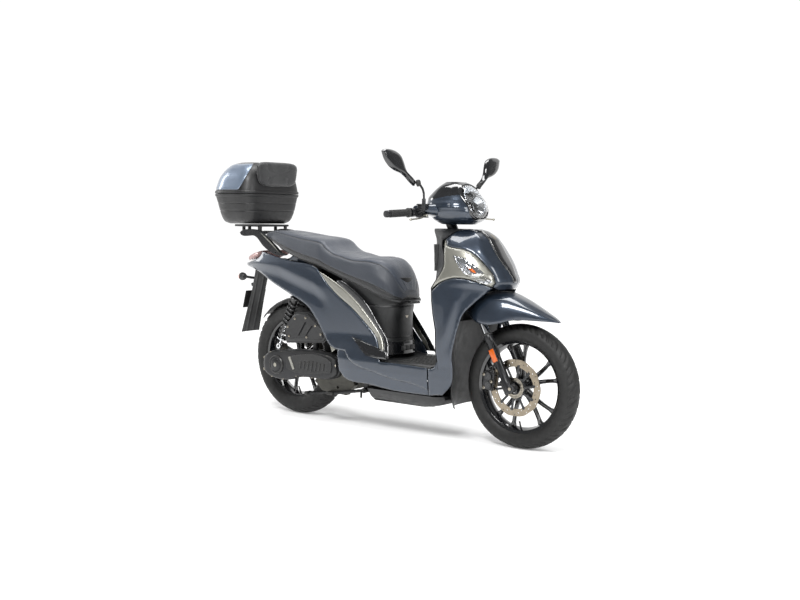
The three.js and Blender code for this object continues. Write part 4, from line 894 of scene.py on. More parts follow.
    # pale smoky rose lens that goes red when lit
    TAIL = ClearPlastic(
        "pale_tail_lamp_lens", "red_lens", "#c9a6a2", "#b98f8c", 0.08, 0.03, ior=1.58, relief=0.03,
        wear=0.0, transmission=0.4,
    )
    # orange plastic, half clear
    AMBER = ClearPlastic(
        "amber_lens", "red_lens", "#d9640c", "#c4560a", 0.16, 0.05, ior=1.55, relief=0.05, wear=0.0,
        transmission=0.25,
    )
    # milky white light guide
    WHITE_LAMP = Finish(
        "white_lamp_diffuser", "clear_lens", "#dfe3e8", "#d2d7dd", 0.2, 0.05, ior=1.55, relief=0.03,
        wear=0.0, coat=0.5,
    )
    # silvered glass
    MIRROR = Finish(
        "mirror_glass", "steel", "#c9ced2", "#c2c7cc", 0.015, 0.01, 1.0, relief=0.0, mottle_mm=300, wear=0.0
    )


def place(
    obj: Piece,
    body: str,
    look: Look,
    *nodes: str,
    angle: float = 35,
    bevel: float = 0,
) -> Piece:
    """Finishes a piece: shading, material, the body it moves with and the CAD nodes it stands for.

    Args:
        obj: the piece, in place.
        body: CAD body that it rides on.
        look: its finish.
        nodes: CAD nodes that it replaces.
        angle: edges sharper than this stay sharp, degrees.
        bevel: width of a live edge rounding, mm.
    Returns:
        The piece.
    """
    alone(obj)
    bpy.ops.object.shade_smooth_by_angle(angle=math.radians(angle))
    if bevel:
        rounded(obj, bevel)
    if not obj.data.materials:
        obj.data.materials.append(look.value.material())
    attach(obj, body)
    if nodes:
        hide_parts(*nodes)
    log.info("%-28s on %-14s %s", obj.name, body, look.value.name)
    return obj


def carried(node: str, look: Look, body: str, bevel: float = 1.0, angle: float = 32) -> Piece:
    """A finished copy of a CAD node, merged and with its edges rounded.

    Args:
        node: the CAD node.
        look: its finish.
        body: CAD body that it rides on.
        bevel: width of the edge rounding, mm.
        angle: edges sharper than this stay sharp, degrees.
    Returns:
        The piece.
    """
    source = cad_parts[node]
    obj = bpy.data.objects.new(f"{node}_made", source.data.copy())
    bpy.context.scene.collection.objects.link(obj)
    obj.data.name = obj.name
    obj.data.materials.clear()
    alone(obj)
    bpy.ops.object.mode_set(mode="EDIT")
    bpy.ops.mesh.select_all(action="SELECT")
    bpy.ops.mesh.remove_doubles(threshold=0.0001)
    bpy.ops.mesh.normals_make_consistent(inside=False)
    bpy.ops.object.mode_set(mode="OBJECT")
    return place(obj, body, look, node, bevel=bevel, angle=angle)


# ------------------------------------------------------------------ body shapes shared by several panels
class FrontShape:
    """The wraparound front: horizontal sections that narrow to the nose, with a shallow curve at the back."""

    LEVELS = (
        (346, 305, 345, 195, 590), (427, 292, 330, 198, 605), (525, 284, 327, 197, 618),
        (600, 280, 311, 196, 614), (660, 276, 302, 194, 610), (719, 270, 297, 190, 612),
        (751, 267, 318, 187, 626), (790, 262, 342, 179, 610), (823, 259, 354, 173, 592),
        (869, 254, 345, 162, 559), (905, 247, 326, 149, 536), (926, 241, 317, 136, 522),
        (941, 233, 309, 124, 512), (965, 212, 296, 102, 478), (974, 202, 286, 88, 458),
        (985, 190, 270, 58, 396),
    )
    TAIL = (
        (-1052, 14), (-1040, 42), (-1005, 78), (-930, 115), (-850, 135), (-640, 154), (-430, 162),
        (-200, 160), (345, 156),
    )
    GIRTH = 330  # scale of the coordinate round the nose, mm

    def __init__(self) -> None:
        """Measures the crest line, so that height runs along the surface."""
        self.z = np.linspace(346, 985, 1200)
        crest = eased(self.LEVELS, self.z)[3]
        self.run = np.concatenate([[0], np.cumsum(np.hypot(np.diff(self.z), np.diff(crest)))])

    def flat(self, x: np.ndarray, z: np.ndarray) -> np.ndarray:
        """Side-view points as coordinates round and up the nose."""
        _, corner, _, nose = eased(self.LEVELS, z)
        s = np.clip((x - corner) / (nose - corner), 0, 1)
        return np.column_stack([np.sqrt(1 - s) * self.GIRTH, np.interp(z, self.z, self.run)])

    def nose(self, u: np.ndarray, v: np.ndarray) -> tuple:
        """The surface over those coordinates."""
        z = np.interp(v, self.run, self.z)
        _, corner, half, nose = eased(self.LEVELS, z)
        s = 1 - np.clip(np.abs(u) / self.GIRTH, 0, 1) ** 2
        return corner + (nose - corner) * s, -np.sign(u) * half * np.sqrt(np.maximum(0, 1 - s**3)), z

    def flank(self, x: np.ndarray, z: np.ndarray) -> tuple:
        """The right-hand side of the leg shield over side-view coordinates, down to the floor."""
        _, corner, half, nose = eased(self.LEVELS, z)
        s = np.clip((x - corner) / (nose - corner), 0, 0.999)
        upper = half * np.sqrt(1 - s**3)
        mix = ease((z - 318) / 70)
        return x, -(upper * mix + self.side(x, z) * (1 - mix)), z

    def side(self, x: np.ndarray, z: np.ndarray) -> np.ndarray:
        """Half width of the tail and the floor skirts."""
        flare = 38 * ease((470 - z) / 130) * ease((x + 480) / 300)
        lean = np.maximum(0, 300 - z) * 0.12 + np.maximum(0, z - 790) * 0.25
        waist = lean + np.maximum(0, x - 345) ** 2 * 6e-4
        return np.maximum(8, eased(self.TAIL, x)[0] + flare - waist)

    def tail(self, x: np.ndarray, z: np.ndarray) -> tuple:
        """The right-hand side panel over side-view coordinates, with its sculpted shoulder."""
        shoulder = 5.0 * np.exp(
            -(((z - self.crease(x) - 34) / 30) ** 2)
        ) - 5.0 * np.exp(-(((z - self.crease(x) + 26) / 34) ** 2))
        return x, -(self.side(x, z) + shoulder * ease((-330 - x) / 120) * ease((x + 1030) / 90)), z

    def side_surface(self, x: np.ndarray, z: np.ndarray) -> tuple:
        """The plain right-hand side over side-view coordinates."""
        return x, -self.side(x, z), z

    def crease(self, x: np.ndarray) -> np.ndarray:
        """Height of the line that runs along the tail."""
        return np.interp(x, [-1050, -900, -700, -450, -300], [770, 772, 745, 672, 600])


SHAPE = FrontShape()
NOSE_EDGE = (
    (330, 940), (352, 915), (385, 905), (428, 900), (487, 878), (545, 828), (582, 780), (592, 750),
    (580, 728), (592, 716),
)


@dataclass
class FrontBody:
    """Nose, silver trims with their turn signals, aprons, inner shield and glovebox door."""

    wall: float = 2.6

    def build(self) -> None:
        """Builds and finishes every piece of the leg shield."""
        self.nose()
        self.trims()
        self.aprons()
        self.badge_panel()
        carried("inner_shield", Look.BLACK, "chassis", 1.2)
        carried("glovebox_door", Look.BLACK, "glovebox", 2.0)
        carried("ignition_key", Look.BLACK, "key", 0.8)
        barrel = turned(
            "ignition_lock", [(8.5, 0), (13, 0), (16, -3), (16, -7), (8.5, -7)], (250, 60, 925), (1, 0, 0),
            40,
        )
        place(barrel, "chassis", Look.STEEL)

    def nose(self) -> None:
        """The painted nose, both sides in one moulding, with a raised centre."""
        edge = curve([*NOSE_EDGE, (640, 716)], 6, closed=False)
        edge = edge[edge[:, 0] <= np.array([eased(SHAPE.LEVELS, z)[3] for z in edge[:, 1]])]
        half = SHAPE.flat(edge[:, 0], edge[:, 1])
        top_z = np.linspace(985, 940, 10)
        line_x = np.interp(top_z, [940, 985], [330, 368])
        top = SHAPE.flat(line_x, top_z)
        ring = np.vstack([top[:-1], half])
        ring = np.vstack([ring, [[0, ring[-1, 1]]]]) if ring[-1, 0] > 1 else ring
        mirror = ring[::-1] * np.array([-1, 1])
        outline = np.vstack([ring, mirror[1:] if abs(ring[-1, 0]) < 1 else mirror])
        rise = lambda u, v, d: 3.0 * ease((46 - np.abs(u)) / 16) * ease(d / 30) + 5 * np.exp(
            -(((np.abs(u) - 128) / 26) ** 2)
        ) * ease(d / 40)
        obj = panel("nose_panel", outline, SHAPE.nose, (1, 0, 0.2), 8, self.wall, 1.8, rise)
        place(obj, "chassis", Look.PAINT, "nose_cover", angle=50)

    def badge_panel(self) -> None:
        """Black centre strip with its rim, and a blank badge above it."""
        v = lambda z: float(np.interp(z, SHAPE.z, SHAPE.run))
        strip = curve([
            (-62, v(976)), (-50, v(900)), (-36, v(820)), (-14, v(748)), (14, v(748)), (36, v(820)),
            (50, v(900)), (62, v(976)),
        ], 6)
        rim = panel(
            "nose_strip_rim", strip * np.array([1.12, 1]), SHAPE.nose, (1, 0, 0.2), 7, 2.0, 1.2,
            lambda u, w, d: 3.4 + 0 * d,
        )
        place(rim, "chassis", Look.BLACK)
        dark = panel(
            "nose_strip", strip, SHAPE.nose, (1, 0, 0.2), 6, 2.0, 0.8,
            lambda u, w, d: 4.6 + 1.4 * ease(d / 14),
        )
        place(dark, "chassis", Look.GLOSS, angle=60)
        crown = curve([
            (-16, v(962)), (-22, v(948)), (-16, v(934)), (16, v(934)), (22, v(948)), (16, v(962)),
        ], 4)
        pale = panel("nose_crown", crown, SHAPE.nose, (1, 0, 0.2), 6, 2.0, 1.2, lambda u, w, d: 6.2 + 0 * d)
        place(pale, "chassis", Look.STEEL)

    def trims(self) -> None:
        """Silver trims, each with a chrome lamp well, an amber bulb and a clear lens."""
        outline = curve([
            (299, 716), (348, 747), (404, 767), (450, 769), (500, 762), (545, 745), (577, 729), (590, 750),
            (580, 780), (543, 827), (486, 877), (428, 898), (385, 903), (352, 913), (329, 939), (339, 905),
            (347, 869), (355, 823), (344, 790), (320, 751),
        ], 6)
        lens = curve([
            (398, 868), (468, 852), (524, 813), (568, 770), (582, 752), (560, 743), (514, 762), (471, 786),
            (430, 826),
        ], 5)
        ridge = lambda x, z, d: 4 * np.exp(-(((z - 742 - (x - 300) * 0.14) / 16) ** 2)) * ease(d / 14)
        right = panel("trim_right", outline, SHAPE.flank, (0, -1, 0), 8, self.wall, 1.6, ridge)
        place(mirrored(right, "trim_left"), "chassis", Look.SILVER, "shield_trim_left", angle=50)
        place(right, "chassis", Look.SILVER, "shield_trim_right", angle=50)
        bowl = panel(
            "signal_well_right", lens, SHAPE.flank, (0, -1, 0), 5, 1.2, 0.4,
            lambda x, z, d: 1.4 + 0.5 * np.sin(x / 2.6) * ease(d / 6),
        )
        clear = panel(
            "signal_lens_right", lens, SHAPE.flank, (0, -1, 0), 6, 1.6, 0.3,
            lambda x, z, d: 2.6 + 8.5 * ease(d / 26),
        )
        bulb = self.bulb("signal_bulb_right", (500, 806))
        for obj, look in ((bowl, Look.CHROME), (clear, Look.CLEAR), (bulb, Look.AMBER)):
            place(mirrored(obj, obj.name.replace("right", "left")), "chassis", look, angle=50)
            place(obj, "chassis", look, angle=50)

    def bulb(self, name: str, where: tuple[float, float]) -> Piece:
        """A small capsule bulb lying in the lamp."""
        x, y, z = (
            float(v)
            for v in SHAPE.flank(np.array([where[0]]), np.array([where[1]]))
            for v in np.atleast_1d(v)
        )
        return tube(
            name, [(x - 20, y - 5.5, z + 11), (x, y - 6.5, z), (x + 20, y - 3, z - 12)], 6.5, 2, 16,
            lambda t: math.sin(math.pi * min(max(t, 0.06), 0.94)) ** 0.5,
        )

    def aprons(self) -> None:
        """Leg shield sides, from the trim down to the floor corner."""
        outline = curve([
            (366, 230), (287, 220), (286, 300), (287, 344), (316, 352), (340, 385), (331, 427), (328, 525),
            (312, 600), (303, 660), (300, 704), (348, 744), (404, 764), (450, 766), (500, 759), (545, 742),
            (577, 725), (548, 694), (508, 652), (468, 607), (443, 533), (428, 470), (419, 419), (422, 356),
            (418, 291),
        ], 7)
        fold = lambda x, z, d: (
            5 * np.exp(-(((x - 352 - (z - 400) * 0.28) / 24) ** 2))
            - 4 * np.exp(-(((x - 402 - (z - 400) * 0.24) / 26) ** 2))
        ) * ease((z - 400) / 120) * ease((720 - z) / 60) * ease(d / 12)
        right = panel("apron_panel_right", outline, SHAPE.flank, (0, -1, 0), 8, self.wall, 1.8, fold)
        place(mirrored(right, "apron_panel_left"), "chassis", Look.PAINT, "apron_left", angle=50)
        place(right, "chassis", Look.PAINT, "apron_right", angle=50)


@dataclass
class RearBody:
    """Side panels with accents, skirts, footrest leaves, underseat cover, tail light and rack."""

    wall: float = 2.6
    cover_back: float = -436
    cover_levels: tuple = (
        (374, 24, 160), (430, 20, 156), (500, 16, 150), (560, 18, 144), (616, 28, 140), (700, 23, 140),
        (745, 20, 140),
    )

    def build(self) -> None:
        """Builds and finishes the rear bodywork."""
        self.side_panels()
        self.underseat()
        self.rack()
        self.rear_light()
        carried("storage_tub", Look.BLACK, "chassis", 1.5)
        carried("footrest_right", Look.BLACK_METAL, "footrest_r", 1.5)
        carried("footrest_left", Look.BLACK_METAL, "footrest_l", 1.5)
        self.mudguard()
        self.plate_holder()

    def pair(self, obj: Piece, look: Look, *nodes: str) -> None:
        """Places a right-hand panel and its twin."""
        twin = mirrored(obj, obj.name.replace("right", "left"))
        place(twin, "chassis", look, *[n.replace("right", "left") for n in nodes], angle=50)
        place(obj, "chassis", look, *nodes, angle=50)

    def side_panels(self) -> None:
        """The long painted panel, the skirt below the crease, the silver accents and the leaf footrest."""
        main = curve([
            (-1050, 777), (-940, 793), (-868, 818), (-848, 851), (-640, 811), (-431, 778), (-414, 762),
            (-353, 698), (-286, 645), (-204, 594), (-123, 531), (-59, 474), (-19, 415), (4, 352),
            (145, 352), (282, 346), (282, 246), (198, 264), (58, 279), (-35, 300), (-114, 314), (-183, 344),
            (-222, 384), (-276, 386), (-330, 400), (-366, 432), (-420, 508), (-493, 585), (-604, 633),
            (-756, 694), (-874, 745), (-1000, 769),
        ], 8)
        self.pair(
            panel("side_panel_shell_right", main, SHAPE.tail, (0, -1, 0), 9, self.wall, 0.9), Look.PAINT,
            "side_panel_right",
        )
        skirt = curve([
            (-276, 392), (-222, 391), (-180, 352), (-113, 321), (-35, 307), (58, 286), (198, 271),
            (282, 253), (282, 220), (92, 220), (-72, 235), (-208, 247), (-257, 283),
        ], 8)
        self.pair(
            panel(
                "skirt_right", skirt, SHAPE.side_surface, (0, -1, 0), 9, self.wall, 0.6,
                lambda x, z, d: -3.0 + 0 * d,
            ),
            Look.PAINT,
        )
        accent = curve([
            (-411, 763), (-351, 700), (-284, 647), (-202, 596), (-121, 533), (-57, 476), (-17, 417),
            (8, 372), (22, 372), (6, 428), (-28, 484), (-83, 545), (-156, 615), (-238, 676), (-320, 722),
            (-399, 758),
        ], 7)
        # a gloss black strip beside the lower part of the silver accent: painted shade, standing in for the
        # accent's darker lower part
        shade = curve([
            (-300, 718), (-238, 674), (-156, 613), (-83, 543), (-28, 482), (8, 427), (24, 372), (54, 372),
            (31, 440), (-44, 540), (-109, 622), (-190, 682), (-280, 724),
        ], 7)
        self.pair(
            panel(
                "accent_shade_right", shade, SHAPE.side_surface, (0, -1, 0), 7, 2.0, 1.0,
                lambda x, z, d: 0.6 + 0 * d,
            ),
            Look.GLOSS,
        )
        self.pair(
            panel(
                "accent_right", accent, SHAPE.side_surface, (0, -1, 0), 7, 2.0, 1.4,
                lambda x, z, d: 1.5 + 0 * d,
            ),
            Look.SILVER,
        )
        flash = curve([(-384, 480), (-352, 476), (-288, 386), (-311, 368)], 6)
        self.pair(
            panel(
                "flash_right", flash, SHAPE.side_surface, (0, -1, 0), 7, 2.0, 1.4,
                lambda x, z, d: -1.0 + 0 * d,
            ),
            Look.SILVER,
        )
        leaf = curve([
            (-192, 452), (-140, 414), (-90, 380), (-30, 367), (46, 365), (44, 396), (-20, 412), (-80, 426),
            (-136, 442),
        ], 5)
        self.pair(
            panel(
                "leaf_right", leaf, SHAPE.side_surface, (0, -1, 0), 6, 6.0, 2.0,
                lambda x, z, d: 8.4 + 2.0 * ease(d / 14),
            ),
            Look.GLOSS,
        )

    def cover_row(self, z: float, grow: float) -> list:
        """The underseat cover's section.

        Args:
            z: its height.
            grow: how far it stands proud, mm.
        Returns:
            Its points, from one side round the front to the other.
        """
        front, half = (float(v) for v in eased(self.cover_levels, z))
        found = []
        for t in np.linspace(-math.pi / 2, math.pi / 2, 61):
            x = self.cover_back + (front - self.cover_back) * max(0.0, math.cos(t)) ** 0.36
            found.append((x + grow, math.copysign(abs(math.sin(t)) ** 0.9, t) * (half + grow), z))
        return [p for p in found if p[0] > self.cover_back + 16]

    def cover_band(self, name: str, zs: Sequence[float], grow: Callable, look: Look, *nodes: str) -> None:
        """One moulding of the underseat cover.

        Args:
            name: object name.
            zs: heights of its rows.
            grow: how far it stands proud at a height.
            look: its finish.
            nodes: CAD nodes that it replaces.
        """
        rows = [self.cover_row(z, grow(z)) for z in zs]
        count = min(len(row) for row in rows)
        spare = [(len(row) - count) // 2 for row in rows]
        rows = [row[cut : cut + count] for row, cut in zip(rows, spare)]
        place(open_skin(name, rows, (1, 0, 0), 3), "chassis", look, *nodes, angle=40)

    def underseat(self) -> None:
        """Moulded cover below the front of the seat, with its slotted base band and a lock."""
        groove = lambda z: -3.0 * math.exp(-(((z - 452) / 3) ** 2)) - 2.5 * math.exp(-(((z - 610) / 3) ** 2))
        self.cover_band("underseat_shell", np.linspace(436, 745, 56), groove, Look.BLACK, "underseat_cover")
        self.cover_band(
            "underseat_base", [374, 376, 382, *np.linspace(388, 424, 8), 430, 434, 436],
            lambda z: 3.5 - 2.0 * (z > 433) - 2.0 * (z < 375), Look.GLOSS,
        )
        for y in (-36, 0, 36):
            slot = block(f"base_slot_{y + 36}", (26.5, y, 404), (3, 32, 24), 0, 1.2)
            place(slot, "chassis", Look.BLACK)
        catch = turned("tub_lock", [(0, 0), (11, 0), (13, 2), (13, 6), (0, 6)], (18, 0, 560), (-1, 0, 0), 36)
        place(catch, "chassis", Look.STEEL)

    def rack(self) -> None:
        """Rounded grab rail arms with a painted highlight along their top edge, the carrier plate and its webs.
        """
        arm = curve([
            (-1000, 944), (-980, 957), (-880, 961), (-852, 953), (-806, 921), (-752, 883), (-702, 845),
            (-670, 834), (-700, 830), (-748, 837), (-824, 877), (-884, 927), (-985, 931),
        ], 7)
        right = plate("rack_arm_right", arm, -139, -115, "XZ", bevel=6)
        right_edge = [(-874, -126), (-940, -130), (-985, -122), (-1025, -104), (-1056, -76), (-1077, -40)]
        plate_outline = curve([
            *right_edge, (-1084, 0), *[(x, -y) for x, y in right_edge[::-1]]
        ], 10, corner=60)
        holes = [
            curve([(x - 30, -80), (x + 30, -80), (x + 30, 80), (x - 30, 80)], 12, corner=30)
            for x in (-1000, -920)
        ]
        deck = plate("rack_deck", plate_outline, 938.5, 951.5, "XY", holes, 3)
        ribs = [
            block(f"rib{k}", (-960, y, 945), (160, 10, 15), 0, 2)
            for k, y in enumerate((-88, -30, 30, 88))
        ]
        place(mirrored(right, "rack_arm_left"), "chassis", Look.BLACK_METAL)
        place(right, "chassis", Look.BLACK_METAL, "grab_rail")
        place(joined("rack_deck", deck, *ribs), "chassis", Look.BLACK_METAL)
        # a thin silver strip on the outer face along the top edge of each arm: a painted highlight of the
        # rounded edge
        line = curve([
            (-846, 948), (-804, 916), (-750, 878), (-702, 841), (-708, 846), (-752, 886), (-806, 924),
        ], 5)
        highlight_strip = plate("rack_line_right", line, -140.2, -138.6, "XZ", bevel=0.4)
        place(mirrored(highlight_strip, "rack_line_left"), "chassis", Look.SILVER)
        place(highlight_strip, "chassis", Look.SILVER)
        posts = [
            bar(f"post{k}", (x, y, 950), (x, y, 980), 9)
            for k, (x, y) in enumerate(
                (x, s * y)
                for x, y in ((-1046, 62), (-966, 98), (-892, 98))
                for s in (-1, 1)
            )
        ]
        place(joined("box_posts", *posts), "chassis", Look.BLACK_STEEL)

    def rear_light(self) -> None:
        """Red wraparound tail lamp over a white lamp board."""
        rows = ((-1044, 18, 786, 792), (-1000, 72, 793, 818), (-940, 104, 800, 840), (-884, 118, 820, 852))
        rings = []
        for x in np.linspace(-1044, -884, 28):
            half, low, high = (float(v) for v in eased(rows, x))
            rings.append([
                (x, y, (low + high) / 2 + z)
                for y, z in superellipse(0, half, (high - low) / 2, 0.5, 40)
            ])
        place(loft("tail_lamp", rings), "chassis", Look.TAIL, "tail_light", angle=50)
        lamp = curve([(-1036, -20), (-1036, 20), (-985, 74), (-890, 108), (-890, -108), (-985, -74)], 10)
        place(plate("tail_lamp_board", lamp, 800, 806, "XY", bevel=1), "chassis", Look.WHITE_LAMP)

    def mudguard(self) -> None:
        """A narrow blade behind the wheel with two stiffening ribs and a flared lower lip."""
        rings = []
        for x, z, half in zip(
            *(
                np.interp(np.linspace(0, 1, 34), [0, 0.3, 0.7, 1], row)
                for row in ((-968, -1000, -1034, -1066), (764, 640, 520, 404), (52, 50, 58, 66))
            )
        ):
            section = [
                (y, 4.0 * (y / half) ** 2 - 2.2 * math.exp(-(((abs(y) - 24) / 5) ** 2)))
                for y in np.linspace(-half, half, 27)
            ]
            rings.append(
                [(x + d, y, z) for y, d in section] + [(x + d + 3.2, y, z) for y, d in section[::-1]]
            )
        place(loft("mudguard_blade", rings), "chassis", Look.BLACK, "rear_mudguard", angle=50)

    def plate_holder(self) -> None:
        """Plate bracket with its lamp, a red reflector and the rear turn signals."""
        lamp = block("plate_lamp", (-1014, 0, 664), (26, 58, 18), -12, 4)
        glass = block("plate_lamp_lens", (-1020, 0, 653), (14, 46, 4), -12, 1.5)
        reflector = block("rear_reflector", (-1068, 0, 440), (7, 78, 28), 15, 2.5)
        bracket = block("plate_bracket", (-1030, 0, 585), (4, 150, 96), 15, 1.5)
        place(bracket, "chassis", Look.BLACK_STEEL)
        for side, s in (("right", -1), ("left", 1)):
            stalk = tube("stalk", [(-990, s * 40, 700), (-1000, s * 66, 704), (-1008, s * 84, 708)], 7, 4, 14)
            shell = turned(
                "shell", [(0, -24), (14, -22), (20, -12), (22, 0), (21, 4), (0, 4)], (-1016, s * 104, 710),
                (-1, 0, 0), 32,
            )
            place(joined(f"rear_signal_{side}", stalk, shell), "chassis", Look.BLACK)
            cover = turned(
                f"rear_signal_lens_{side}", [(0, 4), (20.5, 4), (19, 9), (12, 13), (0, 15)],
                (-1016, s * 104, 710), (-1, 0, 0), 32,
            )
            place(cover, "chassis", Look.AMBER)
        place(lamp, "chassis", Look.BLACK)
        place(glass, "chassis", Look.WHITE_LAMP)
        place(reflector, "chassis", Look.RED)


@dataclass
class FloorAndWell:
    """Floorboard with its ribbed mat, wheel well and belly pan."""

    ribs: int = 9

    def build(self) -> None:
        """Builds and finishes the floor."""
        carried("floorboard", Look.BLACK, "chassis", 1.5)
        carried("wheel_well", Look.BLACK, "chassis", 1.0, 50)
        carried("belly_pan", Look.BLACK, "chassis", 1.0, 50)
        base = curve([(56, -128), (262, -132), (262, 132), (56, 128)], 8, corner=30)
        mat = plate("floor_mat", base, 351.0, 354.4, "XY", bevel=1.2)
        pads = []
        for row in range(self.ribs):
            for column in range(7):
                x, y = 76 + row * 21.5, -108 + column * 36 + (row % 2) * 4
                pads.append(block(f"pad{row}_{column}", (x, y, 355.2), (12, 26, 3), 0, 1.2))
        place(joined("floor_mat", mat, *pads), "chassis", Look.RUBBER)


@dataclass
class Seat:
    """Stepped dual seat: foam under vinyl with a black band, welts and a lumbar step; the sides are a darker
    grey than the top as painted shade.
    """

    stations: tuple = (
        (-846, 934, 950, 80, 62), (-835, 926, 953, 104, 82), (-771, 902, 957, 130, 104),
        (-700, 872, 951, 142, 117), (-563, 823, 934, 150, 125), (-470, 800, 925, 153, 128),
        (-430, 791, 915, 154, 128), (-392, 779, 884, 153, 128), (-350, 766, 862, 152, 129),
        (-300, 748, 852, 152, 130), (-230, 724, 838, 151, 129), (-110, 684, 836, 148, 122),
        (-52, 662, 820, 140, 108), (-6, 646, 778, 122, 90), (20, 637, 724, 96, 70), (34, 640, 684, 64, 46),
    )
    lengthwise: int = 150

    def ring(self, x: float) -> list:
        """The section at x, from the middle of the underside round the right-hand side and back."""
        low, high, wide, narrow = (float(v) for v in eased(self.stations, x))
        h = high - low
        half = [
            (0, low + 4), (wide * 0.55, low + 2), (wide - 14, low), (wide - 2, low + 0.07 * h),
            (wide, low + 0.2 * h), (wide - 3.5, low + 0.235 * h), (wide - 1, low + 0.3 * h),
            (wide - 5, low + 0.52 * h), (narrow + 12, low + 0.74 * h), (narrow + 4, low + 0.83 * h),
            (narrow - 3.5, low + 0.865 * h), (narrow - 9, low + 0.93 * h), (narrow - 30, high - 1.5),
            (narrow * 0.45, high + 0.5), (0, high - 1.5),
        ]
        fine = np.array(self.even(half))
        right = [(x, -y, z) for y, z in fine]
        left = [(x, y, z) for y, z in fine[::-1][1:-1]]
        return right + left

    def even(self, half: Points) -> list:
        """The half section with a fixed count of points between its corners."""
        p = np.array(half, float)
        d = np.vstack([p[1] - p[0], (p[2:] - p[:-2]) / 2, p[-1] - p[-2]])
        out = []
        for i in range(len(p) - 1):
            for t in (0, 0.25, 0.5, 0.75):
                out.append(
                    (2 * t**3 - 3 * t**2 + 1) * p[i] + (t**3 - 2 * t**2 + t) * d[i]
                    + (3 * t**2 - 2 * t**3) * p[i + 1] + (t**3 - t**2) * d[i + 1]
                )
        return [*out, p[-1]]

    def build(self) -> None:
        """Builds the cushion, its welts and the pan."""
        xs = np.concatenate([[-846, -844, -840], np.linspace(-834, 27, self.lengthwise), [31, 33, 34]])
        cushion = loft("seat_cushion_foam", [self.ring(x) for x in xs])
        looks = (Look.SEAT_TOP, Look.SEAT_SIDE, Look.SEAT_BAND)
        for look in looks:
            cushion.data.materials.append(look.value.material())
        for face in cushion.data.polygons:
            x = face.center.x * 1000 - SHIFT
            low, high, wide, narrow = (float(v) for v in eased(self.stations, x))
            share = (face.center.z * 1000 - low) / max(1, high - low)
            # faces between the welts get the darker side vinyl, which is painted shade of the sides
            face.material_index = 0 if share > 0.865 else 1 if share > 0.235 else 2
        self.crown(cushion)
        place(cushion, "seat", Look.SEAT_TOP, "seat_cushion", angle=180)
        for sign, side in ((-1, "right"), (1, "left")):
            for share, label in ((0.865, "top"), (0.235, "low")):
                line = []
                for x in np.linspace(-828, -24, 70):
                    low, high, wide, narrow = (float(v) for v in eased(self.stations, x))
                    y = (narrow - 3.2) if label == "top" else wide - 3.0
                    line.append((x, sign * y, low + share * (high - low)))
                place(tube(f"seat_welt_{label}_{side}", line, 1.8, 8, 8), "seat", Look.SEAT_BAND)
        carried("seat_pan", Look.BLACK, "seat", 1.0)

    def crown(self, cushion: Piece) -> None:
        """Presses stitched channels across the top and lets the foam swell between them."""
        for v in cushion.data.vertices:
            x, y, z = v.co.x * 1000 - SHIFT, v.co.y * 1000, v.co.z * 1000
            low, high, wide, narrow = (float(n) for n in eased(self.stations, x))
            top = ease((z - (low + 0.8 * (high - low))) / (0.16 * (high - low)))
            middle = 1 - min(1, abs(y) / narrow) ** 2
            swell = 2.5 * middle
            for line in (-790, -690, -590):
                swell -= 3.4 * math.exp(
                    -(((x - line - 0.2 * abs(y)) / 4.5) ** 2)
                ) * ease((narrow - 14 - abs(y)) / 16)
            for line in (-300, -200, -100):
                swell -= 3.4 * math.exp(
                    -(((x - line + 0.2 * abs(y)) / 4.5) ** 2)
                ) * ease((narrow - 14 - abs(y)) / 16)
            v.co.z += float(top * swell) / 1000


